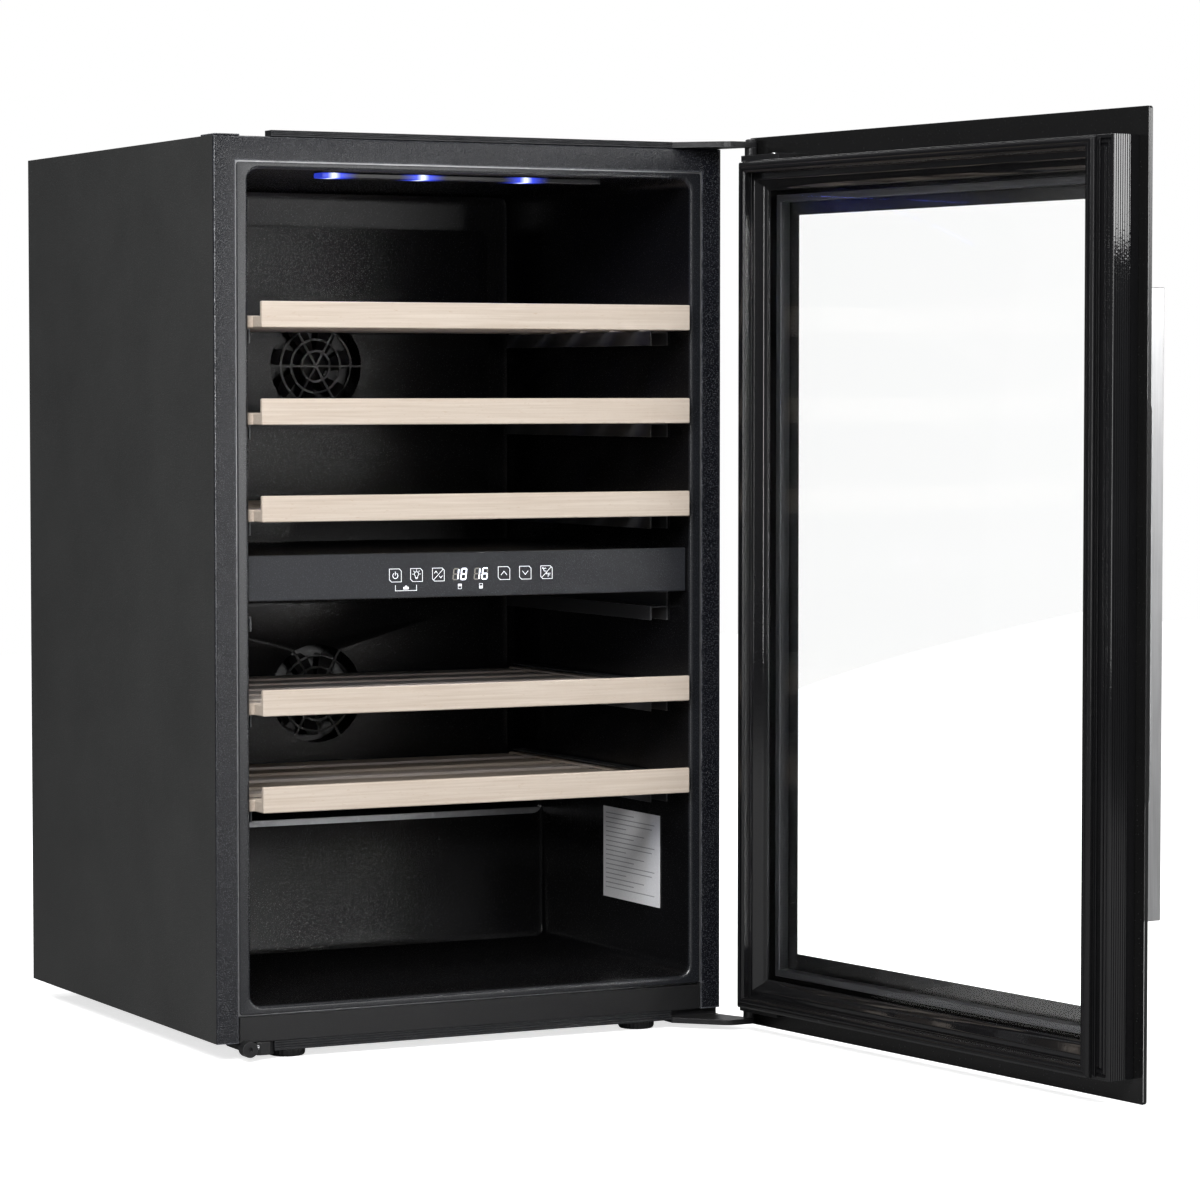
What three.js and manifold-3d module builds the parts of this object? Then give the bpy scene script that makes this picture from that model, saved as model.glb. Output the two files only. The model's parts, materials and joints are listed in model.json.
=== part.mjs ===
// Two-zone wine cooler for a built-in niche, standing with its glass door open.
// Units are millimetres. +Z is up, the front faces -Y, and the hinges are on the +X side.
// x = 0 is the middle of the cabinet, y = 0 its front plane and z = 0 the floor, until the last lines
// move the whole object so that the origin is the middle of its footprint.
import * as THREE from "three";
import { mergeVertices } from "three/addons/utils/BufferGeometryUtils.js";
import Module from "manifold-3d";

const wasm = await Module();
wasm.setup();

// Overall sizes
const cabinetWidth = 544;
const cabinetDepth = 515;
const cabinetHeight = 860;
const footHeight = 18;
const doorSideOverhang = 24;
const doorTopOverhang = 10.5;
const doorBottomOverhang = 14.5;
const openAngle = THREE.MathUtils.degToRad(97);

// Clearances
const gap = 0.3;
const fitGap = 0.4;
const pinPlay = 0.4;

// Cabinet
const sheet = 1.2;
const flangeSide = 22;
const flangeTop = 23;
const seam = 1.5;
const linerFlange = 11.5;
const linerWall = 1.5;
const linerTopRise = 5;
const cavityFloorRise = 34;
const rearInsulation = 100;
const cavityRadius = 11;
const kickHeight = 24;
const kickGroove = 2.5;
const kickThickness = 2;
const kickReturn = 10;
const backRecess = 20;
const backThickness = 1;
const panThickness = 1.5;
const panRim = 9;
const nicheDepth = 170;
const nicheHeight = 162;
const nicheWall = 13;

// Trim, hinges and the fixing at the lower left
const trimDepth = 16;
const trimTopHeight = 5.7;
const trimBottomHeight = 9.2;
const trimLeftInset = 59;
const ridgeCount = 3;
const ridgeDepth = 0.7;
const plateWidth = 55;
const plateThickness = 5.6;
const plateRear = 60;
const plateDrop = 7;
const plateNose = 20;
const plateNoseRound = 14;
const plateRiserStart = 6;
const pinHeadHeight = 2.3;
const pinEntry = 2;
const pinRadius = 3;
const eyeRadius = 6.2;
const boltHeadRadius = 7.7;
const boltHeadDepth = 12;
const boltSocketDepth = 3;
const boltLength = 42;
const boltInset = 29;
const boltDrop = 5.2;
const bracketInset = 40;
const bracketHeight = 13;
const bracketDepth = 30;

// Door
const hingeInset = 10;
const hingeSetback = 11.5;
const doorReach = 47;
const paneThickness = 4;
const enamelThickness = 0.5;
const enamelSide = 82;
const enamelEnd = 79;
const frameDepth = 35;
const frameWidth = 30;
const frameHingeInset = 27;
const frameFreeInset = 12.5;
const frameTopInset = 25;
const frameBottomInset = 22;
const ribCount = 8;
const ribPitch = 2.6;
const ribCut = 1.1;
const lipThickness = 3.3;
const glazingRebate = 20;
const airGap = 11.5;
const spacerWidth = 7;
const spacerInset = 34;
const gasketWidth = 11;
const gasketSideInset = 4;
const gasketHingeInset = 11;
const gasketEndInset = 1.8;
const handleLength = 568;
const handleWidth = 24;
const handleReach = 44;
const handleInset = 32;
const fingerSlotLength = 364;
const fingerSlotDepth = 13;
const fingerSlotReach = 29;
const fingerSlotFloor = 2.5;
const fingerSlotRound = 8;
const armLength = 62;
const armDepth = 12;
const armThickness = 6;

// Shelves, divider and controls
const shelfPitch = 92;
const topShelfDrop = 168;
const upperShelves = 3;
const lowerShelves = 2;
const shelfFrontHeight = 25;
const shelfLipThickness = 5.2;
const shelfRailDepth = 22.8;
const shelfRailHeight = 11;
const shelfFrontProud = 14;
const shelfFrontInset = 7.5;
const shelfRearGap = 8.3;
const runnerWidth = 14;
const runnerHeight = 11.4;
const runnerGap = 2.2;
const slatCount = 6;
const slatWidth = 38;
const slatHeight = 9;
const guideStart = 46;
const guideRearGap = 12.6;
const guideSheet = 1.4;
const guideLedge = 20;
const guideSkirt = 14;
const guideLip = 12;
const fasciaHeight = 43.5;
const fasciaThickness = 4;
const fasciaSetback = 8;
const fasciaDrop = 418.5;
const dividerThickness = 38;
const moduleWidth = 188;
const moduleHeight = 28;
const moduleDepth = 3;
const moduleRecess = 0.8;
const lensLength = 300;
const lensWidth = 20;
const lensHeight = 5;
const upperLensFront = 26;
const lowerLensFront = 34;
const coverInset = 37;
const coverDepth = 26;
const upperCoverRise = 40;
const lowerCoverDrop = 24;
const upperCoverHeight = 290;
const lowerCoverHeight = 196;
const fanRadius = 46;
const fanPlay = 6;
const hubRadius = 16;
const bladeCount = 5;
const bladeWidth = 20;
const hubDepth = 14;
const guardWire = 2.4;
const labelFront = 62;
const labelWidth = 125;
const labelRise = 61;
const labelHeight = 94;
const labelThickness = 0.6;

// Feet and machine space
const footRadius = 18;
const footInset = 82;
const frontFootY = 26;
const rearFootInset = 40;
const stemRadius = 4;
const stemPlay = 0.6;
const stemTop = 30;
const compressorRadius = 60;
const compressorHeight = 130;
const compressorInset = 177;
const compressorRise = 14;
const trayWidth = 170;
const trayHeight = 32;
const trayWall = 2;
const trayInset = 82;
const trayFrontGap = 12;
const trayRearGap = 75;
const inletWidth = 40;
const inletHeight = 30;
const inletDepth = 22;
const inletInset = 27;
const inletRise = 52;
const inletRearGap = 4;
const tubeRadius = 2.4;
const tubePasses = 8;
const tubeInset = 57;
const tubeRise = 70;
const tubeTopDrop = 110;

// Places worked out from the sizes above
const halfWidth = cabinetWidth / 2;
const doorWidth = cabinetWidth + 2 * doorSideOverhang;
const doorHeight = cabinetHeight + doorTopOverhang + doorBottomOverhang;
const doorFloorGap = footHeight - doorBottomOverhang;
const cavityDepth = cabinetDepth - rearInsulation;
const bottom = footHeight;
const top = footHeight + cabinetHeight;
const openingHalf = halfWidth - flangeSide;
const openingTop = top - flangeTop;
const flangeHalf = openingHalf - seam;
const flangeUp = openingTop - seam;
const cavityHalf = flangeHalf - linerFlange;
const cavityTop = flangeUp - linerFlange + linerTopRise;
const cavityBottom = bottom + cavityFloorRise;
const kickTop = bottom + kickHeight;
const flangeDown = kickTop + kickGroove;
const backY = cabinetDepth - backRecess;
const nicheFront = cabinetDepth - nicheDepth;
const nicheTop = bottom + nicheHeight;
const panTop = bottom + panThickness;
const wallFace = cavityHalf - fitGap;
const axisX = doorWidth / 2 - hingeInset;
const axisY = hingeSetback - doorReach;
const fanX = 0;

// A closed geometry as a solid that can be joined and cut
function solid(geometry) {
  const bare = new THREE.BufferGeometry();
  bare.setAttribute("position", geometry.getAttribute("position"));
  bare.setIndex(geometry.index);
  const merged = mergeVertices(bare, 1e-3);
  const mesh = new wasm.Mesh({
    numProp: 3,
    vertProperties: merged.attributes.position.array,
    triVerts: new Uint32Array(merged.index.array),
  });
  return new wasm.Manifold(mesh);
}

// The surface of a solid as a geometry with flat faces
function surface(shape) {
  const mesh = shape.getMesh();
  const geometry = new THREE.BufferGeometry();
  geometry.setAttribute("position", new THREE.BufferAttribute(mesh.vertProperties, 3));
  geometry.setIndex(new THREE.BufferAttribute(mesh.triVerts, 1));
  const flat = geometry.toNonIndexed();
  flat.computeVertexNormals();
  return flat;
}

function box(x0, x1, y0, y1, z0, z1) {
  const geometry = new THREE.BoxGeometry(x1 - x0, y1 - y0, z1 - z0);
  geometry.translate((x0 + x1) / 2, (y0 + y1) / 2, (z0 + z1) / 2);
  return solid(geometry);
}

function cylinder(radius, x, y, z0, z1, sides = 20) {
  const geometry = new THREE.CylinderGeometry(radius, radius, z1 - z0, sides);
  geometry.rotateX(Math.PI / 2);
  geometry.translate(x, y, (z0 + z1) / 2);
  return solid(geometry);
}

function cylinderAlongY(radius, x, z, y0, y1, sides = 24) {
  const geometry = new THREE.CylinderGeometry(radius, radius, y1 - y0, sides);
  geometry.translate(x, (y0 + y1) / 2, z);
  return solid(geometry);
}

function turned(points, sides = 24) {
  const geometry = new THREE.LatheGeometry(points.map(([r, h]) => new THREE.Vector2(r, h)), sides);
  geometry.rotateX(Math.PI / 2);
  return solid(geometry);
}

function outline(points) {
  return new THREE.Shape(points.map(([a, b]) => new THREE.Vector2(a, b)));
}

function roundedRectangle(x0, x1, y0, y1, radius) {
  const shape = new THREE.Shape();
  shape.absarc(x1 - radius, y0 + radius, radius, -Math.PI / 2, 0);
  shape.absarc(x1 - radius, y1 - radius, radius, 0, Math.PI / 2);
  shape.absarc(x0 + radius, y1 - radius, radius, Math.PI / 2, Math.PI);
  shape.absarc(x0 + radius, y0 + radius, radius, Math.PI, Math.PI * 1.5);
  shape.closePath();
  return shape;
}

function extruded(shape, length, basis, start) {
  const options = { depth: length, bevelEnabled: false, curveSegments: 5 };
  const geometry = new THREE.ExtrudeGeometry(shape, options);
  geometry.applyMatrix4(new THREE.Matrix4().makeBasis(...basis));
  geometry.translate(start.x, start.y, start.z);
  return solid(geometry);
}

const axisVectors = {
  x: new THREE.Vector3(1, 0, 0),
  y: new THREE.Vector3(0, 1, 0),
  z: new THREE.Vector3(0, 0, 1),
};

// An outline seen from the front, given as x and z, filled from y0 back to y1
function frontPlate(shape, y0, y1) {
  const basis = [axisVectors.x, axisVectors.z, axisVectors.y.clone().negate()];
  return extruded(shape, y1 - y0, basis, new THREE.Vector3(0, y1, 0));
}

// An outline seen from above, given as x and y
function floorPlate(shape, z0, z1) {
  const basis = [axisVectors.x, axisVectors.y, axisVectors.z];
  return extruded(shape, z1 - z0, basis, new THREE.Vector3(0, 0, z0));
}

// An outline seen from the side, given as y and z
function bar(shape, x0, x1) {
  const basis = [axisVectors.y, axisVectors.z, axisVectors.x];
  return extruded(shape, x1 - x0, basis, new THREE.Vector3(x0, 0, 0));
}

// A mitred frame: a closed profile of [inset, y] points carried round a rectangle in x and z
function mitredFrame(profile, rectangle) {
  const { x0, x1, z0, z1 } = rectangle;
  const corners = [
    (inset, y) => [x0 + inset, y, z0 + inset],
    (inset, y) => [x1 - inset, y, z0 + inset],
    (inset, y) => [x1 - inset, y, z1 - inset],
    (inset, y) => [x0 + inset, y, z1 - inset],
  ];
  const positions = corners.flatMap((corner) => profile.flatMap(([inset, y]) => corner(inset, y)));
  const count = profile.length;
  const index = [];
  for (let side = 0; side < 4; side += 1) {
    const here = side * count;
    const next = ((side + 1) % 4) * count;
    for (let i = 0; i < count; i += 1) {
      const j = (i + 1) % count;
      index.push(here + i, next + j, next + i);
      index.push(here + i, here + j, next + j);
    }
  }
  const geometry = new THREE.BufferGeometry();
  geometry.setAttribute("position", new THREE.Float32BufferAttribute(positions, 3));
  geometry.setIndex(index);
  return solid(geometry);
}

// A round tube through points that lie in one upright plane, given as x and z
function flatTube(points, radius, y, sides = 8) {
  const positions = [];
  const index = [];
  points.forEach((point, i) => {
    const before = points[Math.max(i - 1, 0)];
    const after = points[Math.min(i + 1, points.length - 1)];
    const along = new THREE.Vector2(after[0] - before[0], after[1] - before[1]).normalize();
    for (let k = 0; k < sides; k += 1) {
      const turn = (2 * Math.PI * k) / sides;
      const across = radius * Math.cos(turn);
      positions.push(point[0] - along.y * across, y + radius * Math.sin(turn), point[1] + along.x * across);
    }
  });
  const ring = (i, k) => i * sides + (k % sides);
  for (let i = 0; i + 1 < points.length; i += 1) {
    for (let k = 0; k < sides; k += 1) {
      index.push(ring(i, k), ring(i + 1, k), ring(i + 1, k + 1));
      index.push(ring(i, k), ring(i + 1, k + 1), ring(i, k + 1));
    }
  }
  const last = points.length - 1;
  for (let k = 1; k + 1 < sides; k += 1) {
    index.push(ring(0, 0), ring(0, k), ring(0, k + 1));
    index.push(ring(last, 0), ring(last, k + 1), ring(last, k));
  }
  const geometry = new THREE.BufferGeometry();
  geometry.setAttribute("position", new THREE.Float32BufferAttribute(positions, 3));
  geometry.setIndex(index);
  return solid(geometry);
}

const looks = {
  shellPaint: { color: 0x3a3a38, roughness: 0.7, metalness: 0.1 },
  linerPlastic: { color: 0x1c1d20, roughness: 0.45, metalness: 0 },
  foam: { color: 0xd8cfa8, roughness: 0.95, metalness: 0 },
  darkPlastic: { color: 0x26272a, roughness: 0.6, metalness: 0 },
  trimMetal: { color: 0x37383c, roughness: 0.4, metalness: 0.7 },
  hingeSteel: { color: 0x202022, roughness: 0.45, metalness: 0.6 },
  brightSteel: { color: 0xb8babd, roughness: 0.3, metalness: 1 },
  brushedSteel: { color: 0xc4c5c6, roughness: 0.35, metalness: 1 },
  zincSheet: { color: 0x8d9093, roughness: 0.4, metalness: 0.9 },
  blackEnamel: { color: 0x08080a, roughness: 0.2, metalness: 0 },
  frameProfile: { color: 0x121213, roughness: 0.35, metalness: 0 },
  gasketRubber: { color: 0x161617, roughness: 0.6, metalness: 0 },
  clearGlass: { color: 0xf2f6f6, roughness: 0.05, metalness: 0, transparent: true, opacity: 0.3 },
  spacerMetal: { color: 0x4a4b4d, roughness: 0.4, metalness: 0.9 },
  beech: { color: 0xe3cdb5, roughness: 0.6, metalness: 0 },
  displayBlack: { color: 0x101114, roughness: 0.25, metalness: 0 },
  whiteLens: { color: 0xeef3ff, roughness: 0.3, metalness: 0 },
  whiteLabel: { color: 0xe9e9e6, roughness: 0.6, metalness: 0 },
  compressorPaint: { color: 0x111112, roughness: 0.4, metalness: 0.3 },
  condenserPaint: { color: 0x1a1a1b, roughness: 0.5, metalness: 0.4 },
  footPlastic: { color: 0x17171a, roughness: 0.5, metalness: 0 },
};

const cooler = new THREE.Group();
const door = new THREE.Group();
cooler.add(door);

function addPiece(name, shape, look, parent = cooler) {
  const mesh = new THREE.Mesh(surface(shape), new THREE.MeshStandardMaterial(looks[look]));
  mesh.name = name;
  parent.add(mesh);
  return mesh;
}

// Steel sides, top and front flange, open below and behind
function outerShell() {
  const outside = box(-halfWidth, halfWidth, 0, cabinetDepth, bottom, top);
  const insideHalf = halfWidth - sheet;
  const inside = box(-insideHalf, insideHalf, sheet, cabinetDepth + 1, bottom - 1, top - sheet);
  const mouth = box(-openingHalf, openingHalf, -1, sheet + 1, bottom - 1, openingTop);
  return outside.subtract(inside).subtract(mouth);
}

// The liner's outside or inside: a round-cornered trough with a step over the machine space
function linerTrough(grow, front) {
  const half = cavityHalf + grow;
  const radius = cavityRadius + grow;
  const floor = cavityBottom - grow;
  const ceiling = cavityTop + grow;
  const trough = frontPlate(roundedRectangle(-half, half, floor, ceiling, radius), front, cavityDepth + grow);
  const stepFront = nicheFront - nicheWall - linerWall + grow;
  const stepTop = nicheTop + nicheWall + linerWall - grow;
  return trough.subtract(box(-half - 1, half + 1, stepFront, cavityDepth + grow + 1, floor - 1, stepTop));
}

function innerLiner() {
  const rim = roundedRectangle(-flangeHalf, flangeHalf, flangeDown, flangeUp, 2);
  const flange = frontPlate(rim, 0, linerWall);
  return flange.add(linerTrough(linerWall, 0)).subtract(linerTrough(0, -1));
}

function foamInsulation() {
  const half = halfWidth - sheet - fitGap;
  const front = Math.max(sheet, linerWall) + fitGap;
  const block = box(-half, half, front, backY - fitGap, panTop + fitGap, top - sheet - fitGap);
  const niche = box(-half - 1, half + 1, nicheFront, backY + 1, bottom - 1, nicheTop);
  const kickSpace = box(-half - 1, half + 1, 0, kickReturn + fitGap, bottom - 1, flangeDown);
  let shape = block.subtract(linerTrough(linerWall + fitGap, -1)).subtract(niche).subtract(kickSpace);
  for (const side of [-1, 1]) {
    const x = side * (halfWidth - footInset);
    shape = shape.subtract(cylinder(stemRadius * 2.5, x, frontFootY, bottom, stemTop + 2, 12));
  }
  return shape;
}

function backPanel() {
  const half = halfWidth - sheet - fitGap;
  return box(-half, half, backY, backY + backThickness, nicheTop + 2, top - sheet - fitGap);
}

const footPlaces = {
  front_left: [-(halfWidth - footInset), frontFootY],
  front_right: [halfWidth - footInset, frontFootY],
  rear_left: [-(halfWidth - footInset), cabinetDepth - rearFootInset],
  rear_right: [halfWidth - footInset, cabinetDepth - rearFootInset],
};

function basePan() {
  const half = halfWidth - sheet - fitGap;
  const front = kickThickness + fitGap;
  let shape = box(-half, half, front, cabinetDepth, bottom, panTop);
  shape = shape.add(box(-half, half, cabinetDepth - panThickness, cabinetDepth, bottom, panTop + panRim));
  for (const [x, y] of Object.values(footPlaces)) {
    shape = shape.subtract(cylinder(stemRadius + stemPlay, x, y, bottom - 1, panTop + 1));
  }
  return shape;
}

function kickPanel() {
  const face = box(-flangeHalf, flangeHalf, 0, kickThickness, bottom, kickTop);
  return face.add(box(-flangeHalf, flangeHalf, 0, kickReturn, kickTop - kickThickness, kickTop));
}

// A ridged strip with its face at y = 0
function ridgedStrip(z0, height) {
  const step = height / (ridgeCount + 1);
  const points = [[trimDepth, z0], [0, z0]];
  for (let ridge = 0; ridge < ridgeCount; ridge += 1) {
    const z = z0 + step * (ridge + 0.7);
    points.push([0, z], [ridgeDepth, z + step * 0.2], [ridgeDepth, z + step * 0.45], [0, z + step * 0.65]);
  }
  points.push([0, z0 + height], [trimDepth, z0 + height]);
  return outline(points);
}

const trimLeft = -halfWidth + trimLeftInset;
const trimRight = halfWidth - plateWidth - gap;

// The plan of a hinge plate: under or over the cabinet's corner, then forward to the eye of the hinge
function hingePlatePlan() {
  const left = halfWidth - plateWidth;
  const shape = new THREE.Shape();
  shape.moveTo(left, plateRear);
  shape.lineTo(left, gap);
  const noseEnd = axisX - plateNose;
  shape.lineTo(noseEnd - plateNoseRound, axisY + 2);
  shape.quadraticCurveTo(noseEnd - plateNoseRound / 2, axisY - eyeRadius, noseEnd, axisY - eyeRadius);
  shape.absarc(axisX, axisY, eyeRadius, -Math.PI / 2, THREE.MathUtils.degToRad(100));
  shape.lineTo(halfWidth, gap);
  shape.lineTo(halfWidth, plateRear);
  shape.closePath();
  return shape;
}

function topHingePlate() {
  const z0 = top + gap;
  const plate = floorPlate(hingePlatePlan(), z0, z0 + plateThickness);
  return plate.subtract(cylinder(pinRadius + pinPlay, axisX, axisY, z0 - 1, z0 + plateThickness + 1));
}

function topHingePin() {
  const plateTop = top + gap + plateThickness;
  const low = doorFloorGap + doorHeight - frameTopInset + pinEntry;
  const headLow = plateTop + gap;
  const headTop = headLow + pinHeadHeight;
  const headRadius = eyeRadius - 0.8;
  const shape = turned([
    [0, low], [pinRadius, low], [pinRadius, headLow], [headRadius, headLow],
    [headRadius, headTop - 0.8], [headRadius - 1.2, headTop], [0, headTop],
  ]);
  return shape.translate([axisX, axisY, 0]);
}

function bottomHingePlate() {
  const plateTop = bottom - plateDrop;
  const left = halfWidth - plateWidth;
  const plate = floorPlate(hingePlatePlan(), plateTop - plateThickness, plateTop);
  const riser = box(left, halfWidth - sheet, plateRiserStart, plateRear, plateTop - 1, bottom - gap);
  const frameBottom = doorFloorGap + frameBottomInset;
  return plate.add(riser).add(cylinder(pinRadius, axisX, axisY, plateTop - 1, frameBottom - pinEntry));
}

function mountingBracket() {
  const x0 = -halfWidth + bracketInset;
  const x1 = trimLeft - gap;
  const nose = 1.5;
  const shape = outline([
    [x0, 0], [x0 + 4, -nose], [x1 - 5, -nose], [x1, 2], [x1, bracketDepth], [x0, bracketDepth],
  ]);
  return floorPlate(shape, bottom - bracketHeight, bottom - gap);
}

function mountingBolt() {
  const x = -halfWidth + boltInset;
  const z = bottom - boltDrop;
  const shaftRadius = boltHeadRadius / 2;
  const socketEnd = boltSocketDepth - boltHeadDepth;
  const head = cylinderAlongY(boltHeadRadius, x, z, -boltHeadDepth, -gap);
  const socket = cylinderAlongY(boltHeadRadius / 3, x, z, -boltHeadDepth - 1, socketEnd, 6);
  const shaft = cylinderAlongY(shaftRadius, x, z, -1, boltLength, 16);
  const tab = box(x - shaftRadius, x + shaftRadius, bracketDepth, boltLength, z, bottom - gap);
  return head.subtract(socket).add(shaft).add(tab);
}

function foot(x, y) {
  const shape = turned([
    [0, 0], [footRadius - 1.5, 0], [footRadius, 1.5], [footRadius, 5.5], [footRadius - 3, 7.5],
    [stemRadius + 2, 8.2], [stemRadius + 1, 12], [stemRadius, 13], [stemRadius, stemTop], [0, stemTop],
  ]);
  return shape.translate([x, y, 0]);
}

addPiece("outer_shell", outerShell(), "shellPaint");
addPiece("inner_liner", innerLiner(), "linerPlastic");
addPiece("foam_insulation", foamInsulation(), "foam");
addPiece("back_panel", backPanel(), "zincSheet");
addPiece("base_pan", basePan(), "zincSheet");
addPiece("kick_panel", kickPanel(), "darkPlastic");
addPiece("trim_bar_top", bar(ridgedStrip(top + gap, trimTopHeight), trimLeft, trimRight), "trimMetal");
const lowTrimZ = bottom - gap - trimBottomHeight;
addPiece("trim_bar_bottom", bar(ridgedStrip(lowTrimZ, trimBottomHeight), trimLeft, trimRight), "trimMetal");
addPiece("hinge_plate_top", topHingePlate(), "hingeSteel");
addPiece("hinge_pin_top", topHingePin(), "brightSteel");
addPiece("hinge_plate_bottom", bottomHingePlate(), "hingeSteel");
addPiece("mounting_bracket", mountingBracket(), "darkPlastic");
addPiece("mounting_bolt", mountingBolt(), "hingeSteel");
for (const [place, [x, y]] of Object.entries(footPlaces)) {
  addPiece("foot_" + place, foot(x, y), "footPlastic");
}

// Machine space behind the step, open at the back
function compressor() {
  const x = -halfWidth + compressorInset;
  const y = (nicheFront + cabinetDepth) / 2 + 3;
  const z = panTop + compressorRise;
  const r = compressorRadius;
  const can = turned([
    [0, z], [r * 0.8, z], [r * 0.96, z + 8], [r, z + 30], [r, z + 52], [r * 0.97, z + 54],
    [r * 0.95, z + 84], [r * 0.8, z + 108], [r * 0.45, z + compressorHeight - 6], [0, z + compressorHeight],
  ], 28).translate([x, y, 0]);
  const plate = box(x - 72, x + 72, y - 40, y + 40, z - 4, z + 2);
  let shape = can.add(plate);
  for (const [sx, sy] of [[-1, -1], [1, -1], [1, 1], [-1, 1]]) {
    shape = shape.add(cylinder(9, x + sx * 60, y + sy * 28, panTop + gap, z - 3, 14));
  }
  return shape;
}

function evaporationTray() {
  const x1 = halfWidth - trayInset;
  const x0 = x1 - trayWidth;
  const [y0, y1] = [nicheFront + trayFrontGap, cabinetDepth - trayRearGap];
  const z0 = panTop + gap;
  const tray = box(x0, x1, y0, y1, z0, z0 + trayHeight);
  const t = trayWall;
  return tray.subtract(box(x0 + t, x1 - t, y0 + t, y1 - t, z0 + t, z0 + trayHeight + 1));
}

function powerInlet() {
  const x1 = halfWidth - inletInset;
  const x0 = x1 - inletWidth;
  const y1 = cabinetDepth - inletRearGap;
  const y0 = y1 - inletDepth;
  const z0 = bottom + inletRise;
  const z1 = z0 + inletHeight;
  const body = box(x0, x1, y0, y1, z0, z1);
  const socket = box(x0 + 6, x1 - 6, y0 + 8, y1 + 1, z0 + 5, z1 - 5);
  const leg = box(x0, x1, y0, y0 + 3, panTop + gap, z1);
  return body.subtract(socket).add(leg);
}

// The tube that gives off heat, folded up the back
function condenserTube() {
  const half = halfWidth - tubeInset;
  const low = nicheTop + tubeRise;
  const pitch = (top - tubeTopDrop - low) / (tubePasses - 1);
  const bend = pitch / 2;
  const points = [];
  for (let pass = 0; pass < tubePasses; pass += 1) {
    const z = low + pass * pitch;
    const side = pass % 2 ? -1 : 1;
    points.push([-side * (half - bend), z], [side * (half - bend), z]);
    if (pass + 1 < tubePasses) {
      for (let i = 1; i < 6; i += 1) {
        const turn = (Math.PI * i) / 6;
        points.push([side * (half - bend + bend * Math.sin(turn)), z + bend - bend * Math.cos(turn)]);
      }
    }
  }
  return flatTube(points, tubeRadius, (backY + backThickness + cabinetDepth) / 2);
}

addPiece("compressor", compressor(), "compressorPaint");
addPiece("evaporation_tray", evaporationTray(), "darkPlastic");
addPiece("power_inlet", powerInlet(), "darkPlastic");
addPiece("condenser_tube", condenserTube(), "condenserPaint");

// Divider, control panel and lights
const fasciaMiddle = top - fasciaDrop;
const fasciaBottom = fasciaMiddle - fasciaHeight / 2;
const fasciaTop = fasciaMiddle + fasciaHeight / 2;
const dividerFront = fasciaSetback + fasciaThickness + fitGap;
const dividerBottom = fasciaMiddle - dividerThickness / 2;

function controlPanel() {
  const back = fasciaSetback + fasciaThickness;
  const shape = roundedRectangle(-wallFace, wallFace, fasciaBottom, fasciaTop, 2);
  const halfHole = moduleWidth / 2 + gap;
  const halfHoleHeight = moduleHeight / 2 + gap;
  const z = fasciaMiddle;
  const hole = box(-halfHole, halfHole, fasciaSetback - 1, back + 1, z - halfHoleHeight, z + halfHoleHeight);
  return frontPlate(shape, fasciaSetback, back).subtract(hole);
}

function displayModule() {
  const half = moduleWidth / 2;
  const y0 = fasciaSetback + moduleRecess;
  const [z0, z1] = [fasciaMiddle - moduleHeight / 2, fasciaMiddle + moduleHeight / 2];
  const shape = roundedRectangle(-half, half, z0, z1, 1);
  return frontPlate(shape, y0, y0 + moduleDepth);
}

function zoneDivider() {
  const dividerTop = dividerBottom + dividerThickness;
  return box(-wallFace, wallFace, dividerFront, cavityDepth - fitGap, dividerBottom, dividerTop);
}

// A light strip with a sloping front, its top at z
function lightLens(z, y0) {
  const shape = outline([
    [y0, z], [y0 + 1, z - lensHeight + 1], [y0 + 4, z - lensHeight],
    [y0 + lensWidth - 2, z - lensHeight], [y0 + lensWidth, z - 2], [y0 + lensWidth, z],
  ]);
  return bar(shape, -lensLength / 2, lensLength / 2);
}

function dataLabel() {
  const z0 = cavityBottom + labelRise;
  return box(wallFace - labelThickness, wallFace, labelFront, labelFront + labelWidth, z0, z0 + labelHeight);
}

addPiece("zone_divider", zoneDivider(), "linerPlastic");
addPiece("control_panel", controlPanel(), "darkPlastic");
addPiece("display_module", displayModule(), "displayBlack");
addPiece("light_lens_upper", lightLens(cavityTop - fitGap, upperLensFront), "whiteLens");
addPiece("light_lens_lower", lightLens(dividerBottom - fitGap, lowerLensFront), "whiteLens");
addPiece("data_label", dataLabel(), "whiteLabel");

// Evaporator covers with a guarded fan hole, and the fans behind the guards
const coverFront = cavityDepth - fitGap - coverDepth;

function evaporatorCover(z0, height) {
  const z = z0 + height / 2;
  const half = cavityHalf - coverInset;
  const hole = fanRadius + fanPlay;
  const guard = guardWire;
  const back = cavityDepth - fitGap;
  const slab = frontPlate(roundedRectangle(-half, half, z0, z0 + height, 8), coverFront, back);
  let shape = slab.subtract(cylinderAlongY(hole, fanX, z, coverFront - 1, back + 1, 32));
  for (const radius of [hubRadius, hubRadius * 1.75, hubRadius * 2.5]) {
    const disc = cylinderAlongY(radius + guard / 2, fanX, z, coverFront, coverFront + guard, 28);
    const middle = cylinderAlongY(radius - guard / 2, fanX, z, coverFront - 1, coverFront + guard + 1, 28);
    shape = shape.add(disc.subtract(middle));
  }
  for (let spoke = 0; spoke < 3; spoke += 1) {
    const arm = new THREE.BoxGeometry(2 * hole + 4, guard, guard);
    arm.rotateY((Math.PI * spoke) / 3);
    arm.translate(fanX, coverFront + guard / 2, z);
    shape = shape.add(solid(arm));
  }
  return shape;
}

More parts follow.
